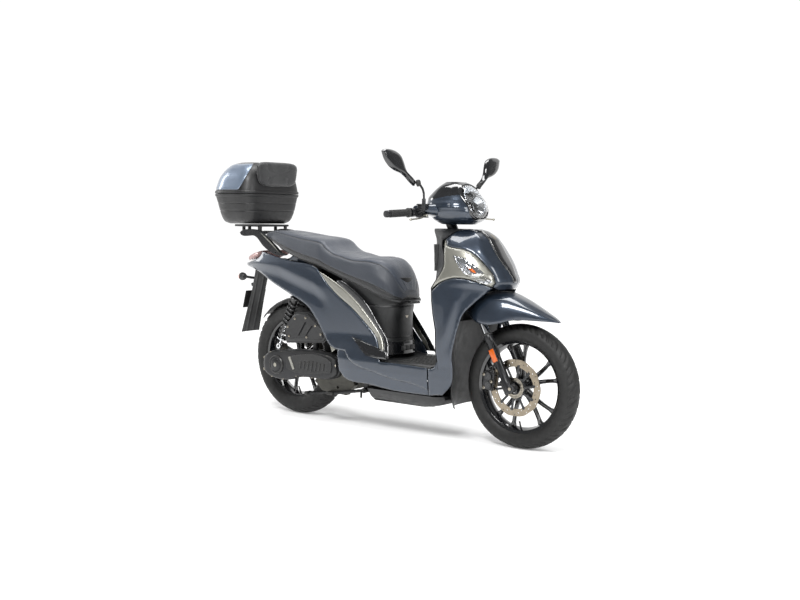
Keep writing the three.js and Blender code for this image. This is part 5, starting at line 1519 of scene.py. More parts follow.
@dataclass
class TopBox:
    """Luggage box: textured base, lid with a pale cap, backrest pad, lock and mounting plate."""

    levels: tuple = (
        (992, 38, 64, 76), (1000, 27, 46, 56), (1010, 18, 38, 44), (1035, 10, 28, 30), (1060, 3, 21, 22),
        (1110, -3, 9, 9), (1150, -7, 0, 0), (1200, -4, 11, 10), (1250, 6, 36, 28), (1290, 27, 76, 60),
        (1308, 50, 106, 88), (1316, 70, 140, 120),
    )

    def ring(self, z: float, grow: float = 0, count: int = 96) -> list:
        """The outline at a height, grown outwards."""
        front, rear, side = (float(v) for v in eased(self.levels, z))
        x1, x0, half = -867 - front + grow, -1212 + rear - grow, 216 - side + grow
        return [(x, y, z) for x, y in superellipse((x0 + x1) / 2, (x1 - x0) / 2, half, 0.42, count, 0.95)]

    def proud(self, z: float) -> float:
        """How far the base stands out at a height: two grooves, and a rim under the lid."""
        grooves = 2.2 * math.exp(-(((z - 1060) / 2.4) ** 2)) + 1.6 * math.exp(-(((z - 1100) / 2) ** 2))
        return 3.5 * float(ease((z - 1134) / 3) * ease((1149 - z) / 1.5)) - grooves

    def build(self) -> None:
        """Builds and finishes the box."""
        heights = np.concatenate([[992, 993, 995], np.linspace(998, 1132, 64), np.linspace(1133, 1149, 16)])
        base = loft("box_base_shell", [self.ring(z, self.proud(z)) for z in heights])
        place(base, "chassis", Look.MATTE, "box_base", angle=60)
        lip = lambda z: 4.0 * ease((1166 - z) / 3) * ease((z - 1151) / 1.5)
        tops = [*np.linspace(1151, 1168, 16), *np.linspace(1171, 1314, 52), 1315.5]
        rings = [self.ring(z, float(lip(z))) for z in tops]
        last = np.array(rings[-1])
        middle = last.mean(0)
        rings += [
            [tuple(middle + (p - middle) * s + np.array([0, 0, 3.0 * (1 - s)])) for p in last]
            for s in (0.85, 0.6, 0.3)
        ]
        place(loft("box_lid_shell", rings), "lid", Look.MATTE, "box_lid", angle=60)
        self.cap()
        self.pad()
        self.hardware()

    def cap(self) -> None:
        """The pale painted cover over the back and the sides of the lid."""
        count = 96
        slant = 9
        for name, z0, z1, grow, look in (
            ("lid_cap", 1170, 1308, 2.6, Look.CHAMPAGNE), ("lid_cap_frame", 1167, 1311, 1.0, Look.GLOSS)
        ):
            zs = np.linspace(z0, z1, 40)
            rows = []
            for i, z in enumerate(zs):
                fade = min(i, len(zs) - 1 - i, 3) / 3
                ring = np.array(self.ring(z, grow * (0.2 + 0.8 * fade), count))
                start = 11 + slant * (1 - i / (len(zs) - 1))
                where = np.linspace(start, count - start, 70)
                rows.append([tuple(np.interp(k, range(count), ring[:, c]) for c in range(3)) for k in where])
            place(open_skin(name, rows, (-1, 0, 0), 2.2), "lid", look, angle=50)

    def pad(self) -> None:
        """Padded backrest: two stitched panels that crown over foam."""
        rings = []
        for k, (x, inset) in enumerate((
            (-865.6, 6), (-864, 1.5), (-860, 0), (-853, 1), (-847, 6), (-843.5, 14), (-842.6, 26),
            (-842.2, 46),
        )):
            rings.append([
                (x, y * (1 + 0.09 * z / 64), 1253 + z)
                for y, z in superellipse(0, 144 - inset, 64 - inset, 0.42, 72)
            ])
        pad = loft("backrest_pad", rings)
        for v in pad.data.vertices:
            y, z, front = v.co.y * 1000, v.co.z * 1000 - 1253, ease((v.co.x * 1000 - SHIFT + 858) / 8)
            groove = 3.2 * (math.exp(-((y / 4) ** 2)) + math.exp(-(((abs(y) - 74 - z * 0.12) / 3.5) ** 2)))
            v.co.x -= float(groove * front) / 1000
        place(pad, "lid", Look.SEAT_BAND, "box_backrest", angle=60)

    def hardware(self) -> None:
        """Latch, lock, rear reflector strip and mounting plate."""
        latch = block("box_latch", (-1214, 0, 1128), (12, 86, 40), 0, 4)
        barrel = turned(
            "box_lock", [(0, 0), (9, 0), (10, 1), (10, 7), (0, 7)], (-1218, 0, 1126), (-1, 0, 0), 32
        )
        strip = block("box_reflector", (-1211, 0, 1088), (8, 150, 14), 0, 2.5)
        place(latch, "chassis", Look.GLOSS)
        place(barrel, "chassis", Look.STEEL)
        place(strip, "chassis", Look.RED)
        outline = curve([(-1078, -100), (-884, -118), (-884, 118), (-1078, 100)], 14, corner=30)
        place(plate("box_mount_plate", outline, 976.5, 987.5, "XY", bevel=3), "chassis", Look.BLACK)


# ------------------------------------------------------------------ running gear
RAKE = math.radians(27)
UP, AHEAD = Vector((-math.sin(RAKE), 0, math.cos(RAKE))), Vector((math.cos(RAKE), 0, math.sin(RAKE)))
FRONT, REAR = Vector((677.5, 0, 283)), Vector((-677.5, 0, 299))


def fork_point(up: float, ahead: float, y: float = 0) -> Vector:
    """A point along the fork, by its height above the axle and its distance ahead of the steering line."""
    return FRONT + AHEAD * (ahead - 33) + UP * up + Vector((0, y, 0))


@dataclass
class ForkAndFender:
    """Telescopic fork, fender, axle, brake caliper with its hose, and side reflectors."""

    stations: tuple = (
        (424, 628, 446, 600, 98), (478, 686, 500, 572, 127), (545, 706, 560, 562, 129),
        (606, 702, 618, 572, 122), (670, 680, 660, 584, 104), (732, 652, 712, 590, 84),
        (800, 618, 782, 588, 56), (845, 595, 836, 585, 28), (864, 585, 861, 581, 9),
    )

    def build(self) -> None:
        """Builds and finishes the fork and the fender."""
        self.fender()
        carried("fork_upper", Look.BLACK_STEEL, "steering", 1.5)
        for side, y in (("right", -90), ("left", 90)):
            self.leg(side, y)
            tube_up = bar(
                f"stanchion_{side}", tuple(fork_point(268, 18, y)), tuple(fork_point(402, 18, y)), 16.8, 40
            )
            place(tube_up, "steering", Look.CHROME)
        carried("front_axle", Look.STEEL, "fork_lower", 0.8)
        self.caliper()

    def fender(self) -> None:
        """The painted mudguard: a beak ahead, full cheeks beside the wheel and a raised spine."""
        table = [(i, *row) for i, row in enumerate(self.stations)]
        keys = np.linspace(0, len(self.stations) - 1, 90)
        cx, cz, ex, ez, half = eased(table, keys)
        ts = np.linspace(-1, 1, 61)
        rows = []
        for i in range(len(keys)):
            row = []
            for t in ts:
                drop = abs(t) ** 2.4
                spine = 3.0 * math.exp(-((t / 0.2) ** 4)) + 2.0 * math.exp(-(((abs(t) - 0.56) / 0.1) ** 2))
                spine *= float(ease(min(keys[i], 7.6 - keys[i]) / 1.2))
                y = half[i] * math.copysign(1 - (1 - abs(t)) ** 2, t) if t else 0
                row.append((cx[i] + (ex[i] - cx[i]) * drop, y, cz[i] + (ez[i] - cz[i]) * drop + spine))
            rows.append(row)
        place(open_skin("fender_shell", rows, (0, 0, 1), 3), "steering", Look.PAINT, "front_fender", angle=50)

    def leg(self, side: str, y: float) -> None:
        """A slider with its seal collar, lugs and reflector."""
        profile = [
            (0, -18), (17, -18), (20, -14), (21, -4), (21, 40), (19.6, 44), (19.6, 228), (22, 232),
            (22, 252), (20.5, 262), (16.6, 262), (16.6, 40), (0, 40),
        ]
        slider = turned("tube", profile, fork_point(0, 18, y), UP, 48)
        boss = turned(
            "boss", [(8, -17), (17, -17), (19, -14), (19, 16), (17, 19), (8, 19)], (FRONT.x, y, FRONT.z),
            (0, 1, 0), 40,
        )
        web = block("web", tuple(fork_point(18, 6, y)), (34, 20, 70), -27, 5)
        place(
            joined(f"slider_{side}", slider, boss, web), "fork_lower", Look.BLACK_METAL,
            f"fork_slider_{side}",
        )
        seal = turned(
            f"dust_seal_{side}", [(16.5, 0), (23, 0), (23.4, 5), (19, 11), (16.5, 11)],
            fork_point(262, 18, y), UP, 40,
        )
        place(seal, "fork_lower", Look.RUBBER)
        out = -1 if y < 0 else 1
        spot = fork_point(166, 18, y + out * 22.5)
        lamp = block(f"fork_reflector_{side}", tuple(spot), (26, 7, 60), -27, 3.4)
        place(lamp, "fork_lower", Look.AMBER)
        back = block(
            f"fork_reflector_base_{side}", tuple(fork_point(166, 18, y + out * 20)), (31, 5, 66), -27, 2.4
        )
        place(back, "fork_lower", Look.BLACK)

    def caliper(self) -> None:
        """Two-piston sliding caliper: bridge, piston housings, pins and hose."""
        angle = math.radians(171)
        centre = FRONT + Vector((math.cos(angle), 0, math.sin(angle))) * 132 + Vector((0, -63, 0))
        carried("front_caliper", Look.BLACK_METAL, "fork_lower", 3.0)
        parts = [
            turned(
                f"piston{k}", [(0, 0), (15, 0), (17, 3), (17, 9), (0, 9)], centre + Vector((2, -20, d)),
                (0, -1, 0), 32,
            )
            for k, d in enumerate((-21, 21))
        ]
        place(joined("caliper_pistons", *parts), "fork_lower", Look.BLACK_METAL)
        bolts = [
            turned(
                f"bolt{k}", [(0, 0), (7, 0), (8, 2), (8, 8), (4, 9), (4, 5), (0, 5)],
                centre + Vector((d[0], -22, d[1])), (0, -1, 0), 6,
            )
            for k, d in enumerate(((-20, 30), (-20, -30), (20, 0)))
        ]
        place(joined("caliper_bolts", *bolts), "fork_lower", Look.STEEL)
        top = fork_point(250, 34, -94)
        hose = tube(
            "brake_hose_low",
            [
                tuple(centre + Vector((12, -14, 36))), tuple(centre + Vector((34, -22, 84))),
                tuple(fork_point(150, 44, -104)), tuple(top),
            ],
            3.4, 5, 12,
        )
        place(hose, "fork_lower", Look.RUBBER)


@dataclass
class Wheel:
    """A cast wheel: rim, paired spokes, hub, grooved tyre, drilled disc on its carrier, and a tone ring."""

    name: str
    body: str
    centre: Vector
    radius: float
    width: float
    rim_width: float
    spoke: float
    disc_radius: float
    disc_y: float
    pairs: int = 5

    def build(self) -> None:
        """Builds and finishes the wheel."""
        self.tyre()
        self.rim()
        self.disc()

    def tyre(self) -> None:
        """Round-section tyre with slanted tread grooves and a bead ridge."""
        steps, half, crown = 540, self.width / 2, self.radius
        middle = crown - 0.52 * (crown - 203)
        section = [(204, -0.66 * half), (211, -0.80 * half), (219, -0.90 * half), (228, -0.965 * half)]
        for a in np.radians(np.linspace(-96, 96, 57)):
            section.append((middle + (crown - middle) * math.cos(a), half * math.sin(a)))
        section += [(r, -h) for r, h in section[3::-1]] + [(203.4, 0.5 * half), (203.4, -0.5 * half)]
        profile = np.array(section)
        t = 2 * np.pi * np.arange(steps) / steps
        share = np.abs(profile[:, 1]) / half
        side = np.sign(profile[:, 1])
        on_tread = (profile[:, 0] > middle + 6) * ease((share - 0.16) / 0.05) * ease((0.9 - share) / 0.05)
        phase = t[:, None] * 26 / (2 * np.pi) + 0.85 * share[None] + 0.25 * side[None]
        slot = ease((0.13 - np.abs(phase % 1 - 0.5)) / 0.035) * on_tread[None]
        short = ease(
            (0.09 - np.abs((phase + 0.5) % 1 - 0.5)) / 0.03
        ) * on_tread[None] * ease((share - 0.5) / 0.05)[None]
        lift = 0.8 * np.exp(-(((profile[:, 0] - 224) / 1.6) ** 2))
        r = profile[None, :, 0] - 5.2 * np.maximum(slot, short)
        y = profile[None, :, 1] * (1 + 0 * t[:, None]) + (side * lift)[None]
        points = np.stack([
            self.centre.x + r * np.cos(t)[:, None], y, self.centre.z + r * np.sin(t)[:, None],
        ], 2)
        place(
            loft_loop(f"{self.name}_tyre_tread", points), self.body, Look.TYRE, f"{self.name}_tyre",
            angle=48,
        )

    def rim(self) -> None:
        """Barrel, hub and tapered spokes in one casting."""
        w = self.rim_width / 2
        barrel = turned(
            "barrel",
            [
                (197, -w + 3), (211, -w - 3), (215, -w - 2.4), (215.4, -w + 0.5), (212, -w + 2),
                (203.2, -w + 5), (196, -9), (196, 9), (203.2, w - 5), (212, w - 2), (215.4, w - 0.5),
                (215, w + 2.4), (211, w + 3), (197, w - 3), (188, 12), (186, 0), (188, -12),
            ],
            self.centre, steps=144,
        )
        hub = turned(
            "hub",
            [
                (9, -33), (24, -33), (28, -30), (30, -24), (33, -12), (33, 12), (30, 24), (28, 30),
                (24, 33), (9, 33),
            ],
            self.centre, steps=64,
        )
        spokes = []
        for pair in range(self.pairs):
            for lean in (-14, 14):
                a = math.radians(99 + 360 / self.pairs * pair + lean)
                out, across = Vector((math.cos(a), 0, math.sin(a))), Vector((-math.sin(a), 0, math.cos(a)))
                rings = []
                for d in np.linspace(22, 190, 26):
                    share = (d - 22) / 168
                    wide = 13.5 - 4.5 * math.sin(
                        math.pi * min(1, share * 0.62)
                    ) + 5 * max(0, share - 0.86) / 0.14
                    deep = self.spoke / 2 + 5 * (1 - share) ** 2
                    sweep = -math.copysign(1, lean) * 7 * math.sin(math.pi * share)
                    base = self.centre + out * float(d) + across * sweep
                    rings.append([
                        base + across * p + Vector((0, q, 0))
                        for p, q in (
                            (-wide, -deep * 0.45), (-wide * 0.62, -deep), (0, -deep * 0.8),
                            (wide * 0.62, -deep), (wide, -deep * 0.45), (wide, deep * 0.45),
                            (wide * 0.62, deep), (0, deep * 0.8), (-wide * 0.62, deep), (-wide, deep * 0.45),
                        )
                    ])
                spokes.append(loft(f"spoke{pair}{lean}", rings))
        whole = joined(f"{self.name}_rim_casting", barrel, hub, *spokes)
        place(whole, self.body, Look.GLOSS, f"{self.name}_rim", angle=30, bevel=0.8)
        valve = bar(
            f"{self.name}_valve", tuple(self.centre + Vector((0, -8, -188))),
            tuple(self.centre + Vector((0, -22, -158))), 4, 16,
        )
        place(valve, self.body, Look.RUBBER)

    def disc(self) -> None:
        """Floating brake disc: drilled ring, black carrier with buttons, and the sensor's slotted tone ring."""
        circle = lambda r, n, c=(0, 0): np.array([
            (self.centre.x + c[0] + r * math.cos(a), self.centre.z + c[1] + r * math.sin(a))
            for a in np.linspace(0, 2 * np.pi, n, endpoint=False)
        ])
        r, y = self.disc_radius, self.disc_y
        wave = np.array([
            (
                self.centre.x + (r - 1.4 + 1.4 * math.cos(10 * a)) * math.cos(a),
                self.centre.z + (r - 1.4 + 1.4 * math.cos(10 * a)) * math.sin(a),
            )
            for a in np.linspace(0, 2 * np.pi, 160, endpoint=False)
        ])
        holes = []
        for k in range(12):
            for step, radius in ((0, r - 9), (0.16, r - 17.5), (0.32, r - 26)):
                a = 2 * math.pi * (k / 12) + step
                holes.append(circle(3.1, 12, (radius * math.cos(a), radius * math.sin(a))))
        ring = plate(f"{self.name}_disc_ring", wave, y - 2.2, y + 2.2, "XZ", [circle(r - 35, 96), *holes], 0)
        place(ring, self.body, Look.DISC, f"{self.name}_disc")
        carrier = []
        for k in range(10):
            a = 2 * math.pi * k / 10 + 0.1
            inner, outer = 36, r - 31
            out = Vector((math.cos(a), 0, math.sin(a)))
            across = Vector((-math.sin(a), 0, math.cos(a)))
            mid = self.centre + Vector((0, y, 0))
            carrier.append(bar(f"arm{k}", mid + out * inner, mid + out * outer + across * 6, 5.5, 12))
            carrier.append(
                bar(
                    f"button{k}", mid + out * (r - 33) + across * 6 - Vector((0, 4.5, 0)),
                    mid + out * (r - 33) + across * 6 + Vector((0, 4.5, 0)), 7, 20,
                )
            )
        carrier.append(
            turned(
                "middle", [(28, -6), (44, -6), (46, -3), (46, 3), (44, 6), (28, 6)],
                self.centre + Vector((0, y, 0)), steps=64,
            )
        )
        place(joined(f"{self.name}_disc_carrier", *carrier), self.body, Look.BLACK_METAL)
        out = math.copysign(1, y)
        slots = [
            curve([
                (self.centre.x + rr * math.cos(a + da), self.centre.z + rr * math.sin(a + da))
                for rr, da in ((36.5, -0.035), (43.5, -0.03), (43.5, 0.03), (36.5, 0.035))
            ], 8, corner=30)
            for a in np.linspace(0, 2 * np.pi, 36, endpoint=False)
        ]
        tone = plate(
            f"{self.name}_tone_ring", circle(46.5, 96), y + out * 8 - 1, y + out * 8 + 1, "XZ",
            [circle(31, 64), *slots], 0,
        )
        place(tone, self.body, Look.STEEL)
        hub = [
            bar(
                f"stud{k}", self.centre + Vector((38 * math.cos(a), y - out * 4, 38 * math.sin(a))),
                self.centre + Vector((38 * math.cos(a), y + out * 11, 38 * math.sin(a))), 5, 6,
            )
            for k, a in enumerate(np.linspace(0.3, 2 * np.pi + 0.3, 5, endpoint=False))
        ]
        place(joined(f"{self.name}_disc_bolts", *hub), self.body, Look.STEEL)


@dataclass
class HandlebarGroup:
    """Handlebar cover, headlight, dash, grips, levers, switch buttons and mirrors."""

    cover: tuple = (
        (1006, 238, 396, 58), (1020, 212, 420, 90), (1042, 196, 437, 114), (1070, 183, 436, 128),
        (1100, 176, 426, 128), (1120, 176, 415, 118), (1150, 196, 396, 100), (1184, 236, 366, 78),
        (1202, 260, 338, 52),
    )
    lamp: tuple = (
        (0, 1030), (42, 1034), (68, 1056), (78, 1092), (80, 1136), (66, 1170), (40, 1190), (0, 1196),
        (-40, 1190), (-66, 1170), (-80, 1136), (-78, 1092), (-68, 1056), (-42, 1034),
    )

    def front_of(self, y: np.ndarray, z: np.ndarray, lift: float = 0) -> tuple:
        """The front of the cover over front-view coordinates."""
        rear, front, half = eased(self.cover, z)
        a, b, xm = (front - rear) / 2, half, (front + rear) / 2
        return xm + a * np.maximum(0.02, 1 - np.clip(np.abs(y) / b, 0, 1) ** (2 / 0.72)) ** 0.36 + lift, y, z

    def build(self) -> None:
        """Builds and finishes everything on the bars."""
        self.shell()
        self.headlight()
        self.dash()
        carried("handlebar", Look.BLACK_METAL, "steering", 1.0)
        self.grips()
        carried("brake_lever_right", Look.CAST, "brake_lever_r", 1.5)
        carried("brake_lever_left", Look.CAST, "brake_lever_l", 1.5)
        self.mirrors()
        self.switches()

    def shell(self) -> None:
        """The painted cover with a crease along its side, open at the headlight."""
        zs = np.concatenate([[1006, 1007.5], np.linspace(1010, 1200, 84), [1201.5, 1202]])
        rings = []
        for z in zs:
            rear, front, half = (float(v) for v in eased(self.cover, z))
            crease = 3.5 * math.exp(-(((z - 1084) / 9) ** 2)) - 3.0 * math.exp(-(((z - 1112) / 14) ** 2))
            rings.append([
                (x, y, z)
                for x, y in superellipse(
                    (rear + front) / 2, (front - rear) / 2 + crease * 0.4, half + crease, 0.72, 120
                )
            ])
        obj = loft("handlebar_cover_shell", rings)
        outline = curve(self.lamp, 4)
        for look in (Look.PAINT, Look.GLOSS):
            obj.data.materials.append(look.value.material())
        for face in obj.data.polygons:
            x, z = face.center.x * 1000 - SHIFT, face.center.z * 1000
            face.material_index = int(z > np.interp(x, [233, 312, 425], [1118, 1134, 1146]))
        mesh = bmesh.new()
        mesh.from_mesh(obj.data)
        centres = np.array([f.calc_center_median()[:] for f in mesh.faces]) * 1000
        gone = inside(centres[:, 1:], outline) & (centres[:, 0] - SHIFT > 300)
        bmesh.ops.delete(mesh, geom=[f for f, g in zip(mesh.faces, gone) if g], context="FACES")
        mesh.to_mesh(obj.data)
        mesh.free()
        walled(obj, 2.5)
        place(obj, "steering", Look.PAINT, "handlebar_cover", angle=50)
        for side, s in (("right", -1), ("left", 1)):
            rings = []
            for share in np.linspace(0, 1, 20):
                x, z = 258 - 46 * share, 1070 + 6 * share
                a, b = 62 - 36 * share, 34 - 18 * share
                y = s * (88 + 96 * share)
                rings.append([(x + p, y, z + q) for p, q in superellipse(0, a, b, 0.8, 40)])
            place(loft(f"cover_wing_{side}", rings), "steering", Look.PAINT, angle=50)

    def headlight(self) -> None:
        """Bezel, black tub, round reflector and projector, light bars and the clear lens."""
        outline = curve(self.lamp, 4)
        centre = np.array([0, 1108.0])
        def at_depth(scale: float, depth: float) -> list:
            p = centre + (outline - centre) * scale
            x, y, z = self.front_of(p[:, 0], p[:, 1])
            return list(zip(x - depth, y, z))
        bezel = loft_loop(
            "headlight_bezel",
            np.array([
                at_depth(*v)
                for v in ((1.07, 4), (1.06, -2), (1.02, -5.5), (0.97, -5), (0.94, -1), (0.94, 6), (1.0, 9))
            ])
        )
        place(bezel, "steering", Look.GLOSS, "headlight", angle=50)
        tub = loft(
            "headlight_tub",
            [at_depth(*v) for v in ((0.99, 4), (0.96, 4), (0.93, 14), (0.86, 34), (0.6, 40), (0.3, 42))]
        )
        place(tub, "steering", Look.GLOSS, angle=50)
        x0 = float(self.front_of(np.array([0.0]), np.array([1092.0]))[0][0])
        tilt = Vector((1, 0, 0.22)).normalized()
        spot = Vector((x0 - 30, 0, 1090))
        bowl = turned(
            "headlight_reflector",
            [(12, -4), (22, 4), (34, 17), (41, 25), (43, 25), (36, 14), (24, 0), (12, -8)], spot, tilt, 72,
        )
        lens = turned(
            "headlight_projector", [(0, 12), (8, 11), (15, 7), (19, 0), (19, -6), (0, -6)], spot, tilt, 48
        )
        ring = turned("headlight_ring", [(43, 22), (47, 22), (48, 26), (44, 27)], spot, tilt, 72)
        place(bowl, "steering", Look.CHROME)
        place(lens, "steering", Look.CLEAR)
        place(ring, "steering", Look.CHROME)
        bars = []
        for s in (-1, 1):
            line = [
                (y * s, z)
                for y, z in ((6, 1176), (34, 1168), (55, 1150), (67, 1126), (68, 1098), (57, 1066))
            ]
            x, y, z = self.front_of(np.array([p[0] for p in line]), np.array([p[1] for p in line]), -6)
            bars.append(tube(f"light_bar{s}", list(zip(x, y, z)), 3.8, 5, 12))
        place(joined("headlight_light_bars", *bars), "steering", Look.WHITE_LAMP)
        brow = curve([
            (-60, 1152), (-36, 1176), (0, 1184), (36, 1176), (60, 1152), (40, 1150), (0, 1156), (-40, 1150),
        ], 4)
        top = panel("headlight_brow", brow, lambda y, z: self.front_of(y, z, -3), (1, 0, 0), 6, 2, 0.8)
        place(top, "steering", Look.WHITE_LAMP, angle=50)
        shrink = centre + (outline - centre) * 0.955
        clear = panel(
            "headlight_lens", shrink, lambda y, z: self.front_of(y, z, 1.0), (1, 0, 0), 7, 2.0, 0.3,
            lambda y, z, d: 5 * ease(d / 26),
        )
        place(clear, "steering", Look.CLEAR, angle=50)

    def dash(self) -> None:
        """Instrument pod with its glass, behind the headlight."""
        outline = curve([(196, -74), (300, -50), (318, 0), (300, 50), (196, 74), (182, 40), (182, -40)], 8)
        pod = plate("dash_pod", outline, 1128, 1146, "XY", bevel=5)
        glass = plate(
            "dash_glass", curve([(206, -58), (286, -40), (298, 0), (286, 40), (206, 58)], 8), 1146, 1150,
            "XY", bevel=1.5,
        )
        for obj in (pod, glass):
            obj.data.transform(
                Matrix.Translation(at(250, 0, 1140)) @ Matrix.Rotation(math.radians(-14), 4, "Y")
                @ Matrix.Translation(-at(250, 0, 1140))
            )
        place(pod, "steering", Look.BLACK)
        place(glass, "steering", Look.GLOSS)

    def grips(self) -> None:
        """Ribbed rubber grips with flanges, and metal end weights."""
        for side, s, body, node in (
            ("right", -1, "steering", "grip_right"), ("left", 1, "throttle", "throttle_grip")
        ):
            a, b = Vector((200, s * 150, 1062)), Vector((171, s * 367, 1051))
            way = (b - a).normalized()
            length = (b - a).length
            start = a + way * (length - 146)
            profile = [(11.6, 0), (21, 0), (22, 2), (22, 5), (18, 8)]
            for k in range(26):
                profile += [
                    (17.2, 9 + k * 4.2), (17.2, 11.4 + k * 4.2), (16.2, 11.8 + k * 4.2),
                    (16.2, 13 + k * 4.2),
                ]
            profile += [(17.4, 119), (16.6, 121), (11.6, 121)]
            place(turned(f"grip_{side}_ribbed", profile, start, way, 40), body, Look.RUBBER, node, angle=40)
            weight = turned(
                f"bar_weight_{side}", [(0, 0), (14, 0), (16, 2), (16, 14), (14.5, 18), (9, 20), (0, 20)],
                start + way * 125, way, 40,
            )
            place(weight, "steering", Look.BLACK_METAL)

    def switches(self) -> None:
        """A few unmarked switch buttons, and the brake reservoirs."""
        for side, s in (("right", -1), ("left", 1)):
            buttons = [
                block(
                    f"button_{side}{k}", (176 + k * 1.5, s * (166 + k * 14), 1070 - k * 7), (9, 10, 9), 20,
                    2,
                )
                for k in range(2)
            ]
            place(joined(f"switch_buttons_{side}", *buttons), "steering", Look.RUBBER)
            tank = block(f"reservoir_{side}", (238, s * 176, 1082), (38, 46, 24), 0, 5)
            lid = block(f"reservoir_lid_{side}", (238, s * 176, 1096), (42, 50, 6), 0, 2)
            place(tank, "steering", Look.BLACK_METAL)
            place(lid, "steering", Look.BLACK)

    def mirrors(self) -> None:
        """Mirror heads with their glass, and a rubber boot."""
        shape = curve([
            (-250, 1192), (-292, 1216), (-318, 1246), (-336, 1290), (-356, 1318), (-452, 1334),
            (-470, 1326), (-456, 1290), (-428, 1262), (-392, 1244), (-330, 1224), (-290, 1196), (-262, 1178),
        ], 5, corner=75)
        for side, s, body in (("right", 1, "mirror_r"), ("left", -1, "mirror_l")):
            flat = shape * np.array([s, 1])
            middle = flat.mean(0)
            rings = []
            for depth, scale in (
                (-10.4, 0.955), (-10.8, 0.99), (-9, 1.0), (-3, 1.0), (3, 0.97), (8, 0.88), (11, 0.7),
                (12, 0.4),
            ):
                rings.append([
                    (250 + depth - (z - 1200) * 0.12, y, z)
                    for y, z in middle + (flat - middle) * scale
                ])
            place(loft(f"mirror_head_{side}", rings), body, Look.GLOSS, f"mirror_{side}", angle=50)
            glass_edge = middle + (flat - middle) * 0.9
            keep = glass_edge[(np.abs(glass_edge[:, 0]) > 318)]
            glass = panel(
                f"mirror_glass_{side}", curve(keep, 5, corner=75),
                lambda y, z: (250 - 11.6 - (z - 1200) * 0.12, y, z), (-1, 0, 0), 12, 1.2, 0,
            )
            place(glass, body, Look.MIRROR)
            boot = turned(
                f"mirror_boot_{side}", [(0, 0), (9, 0), (10, 5), (12, 12), (11, 22), (8, 28), (0, 28)],
                (262, -s * 243, 1178), (0, -s * 0.3, 1), 32,
            )
            place(boot, "steering", Look.RUBBER)


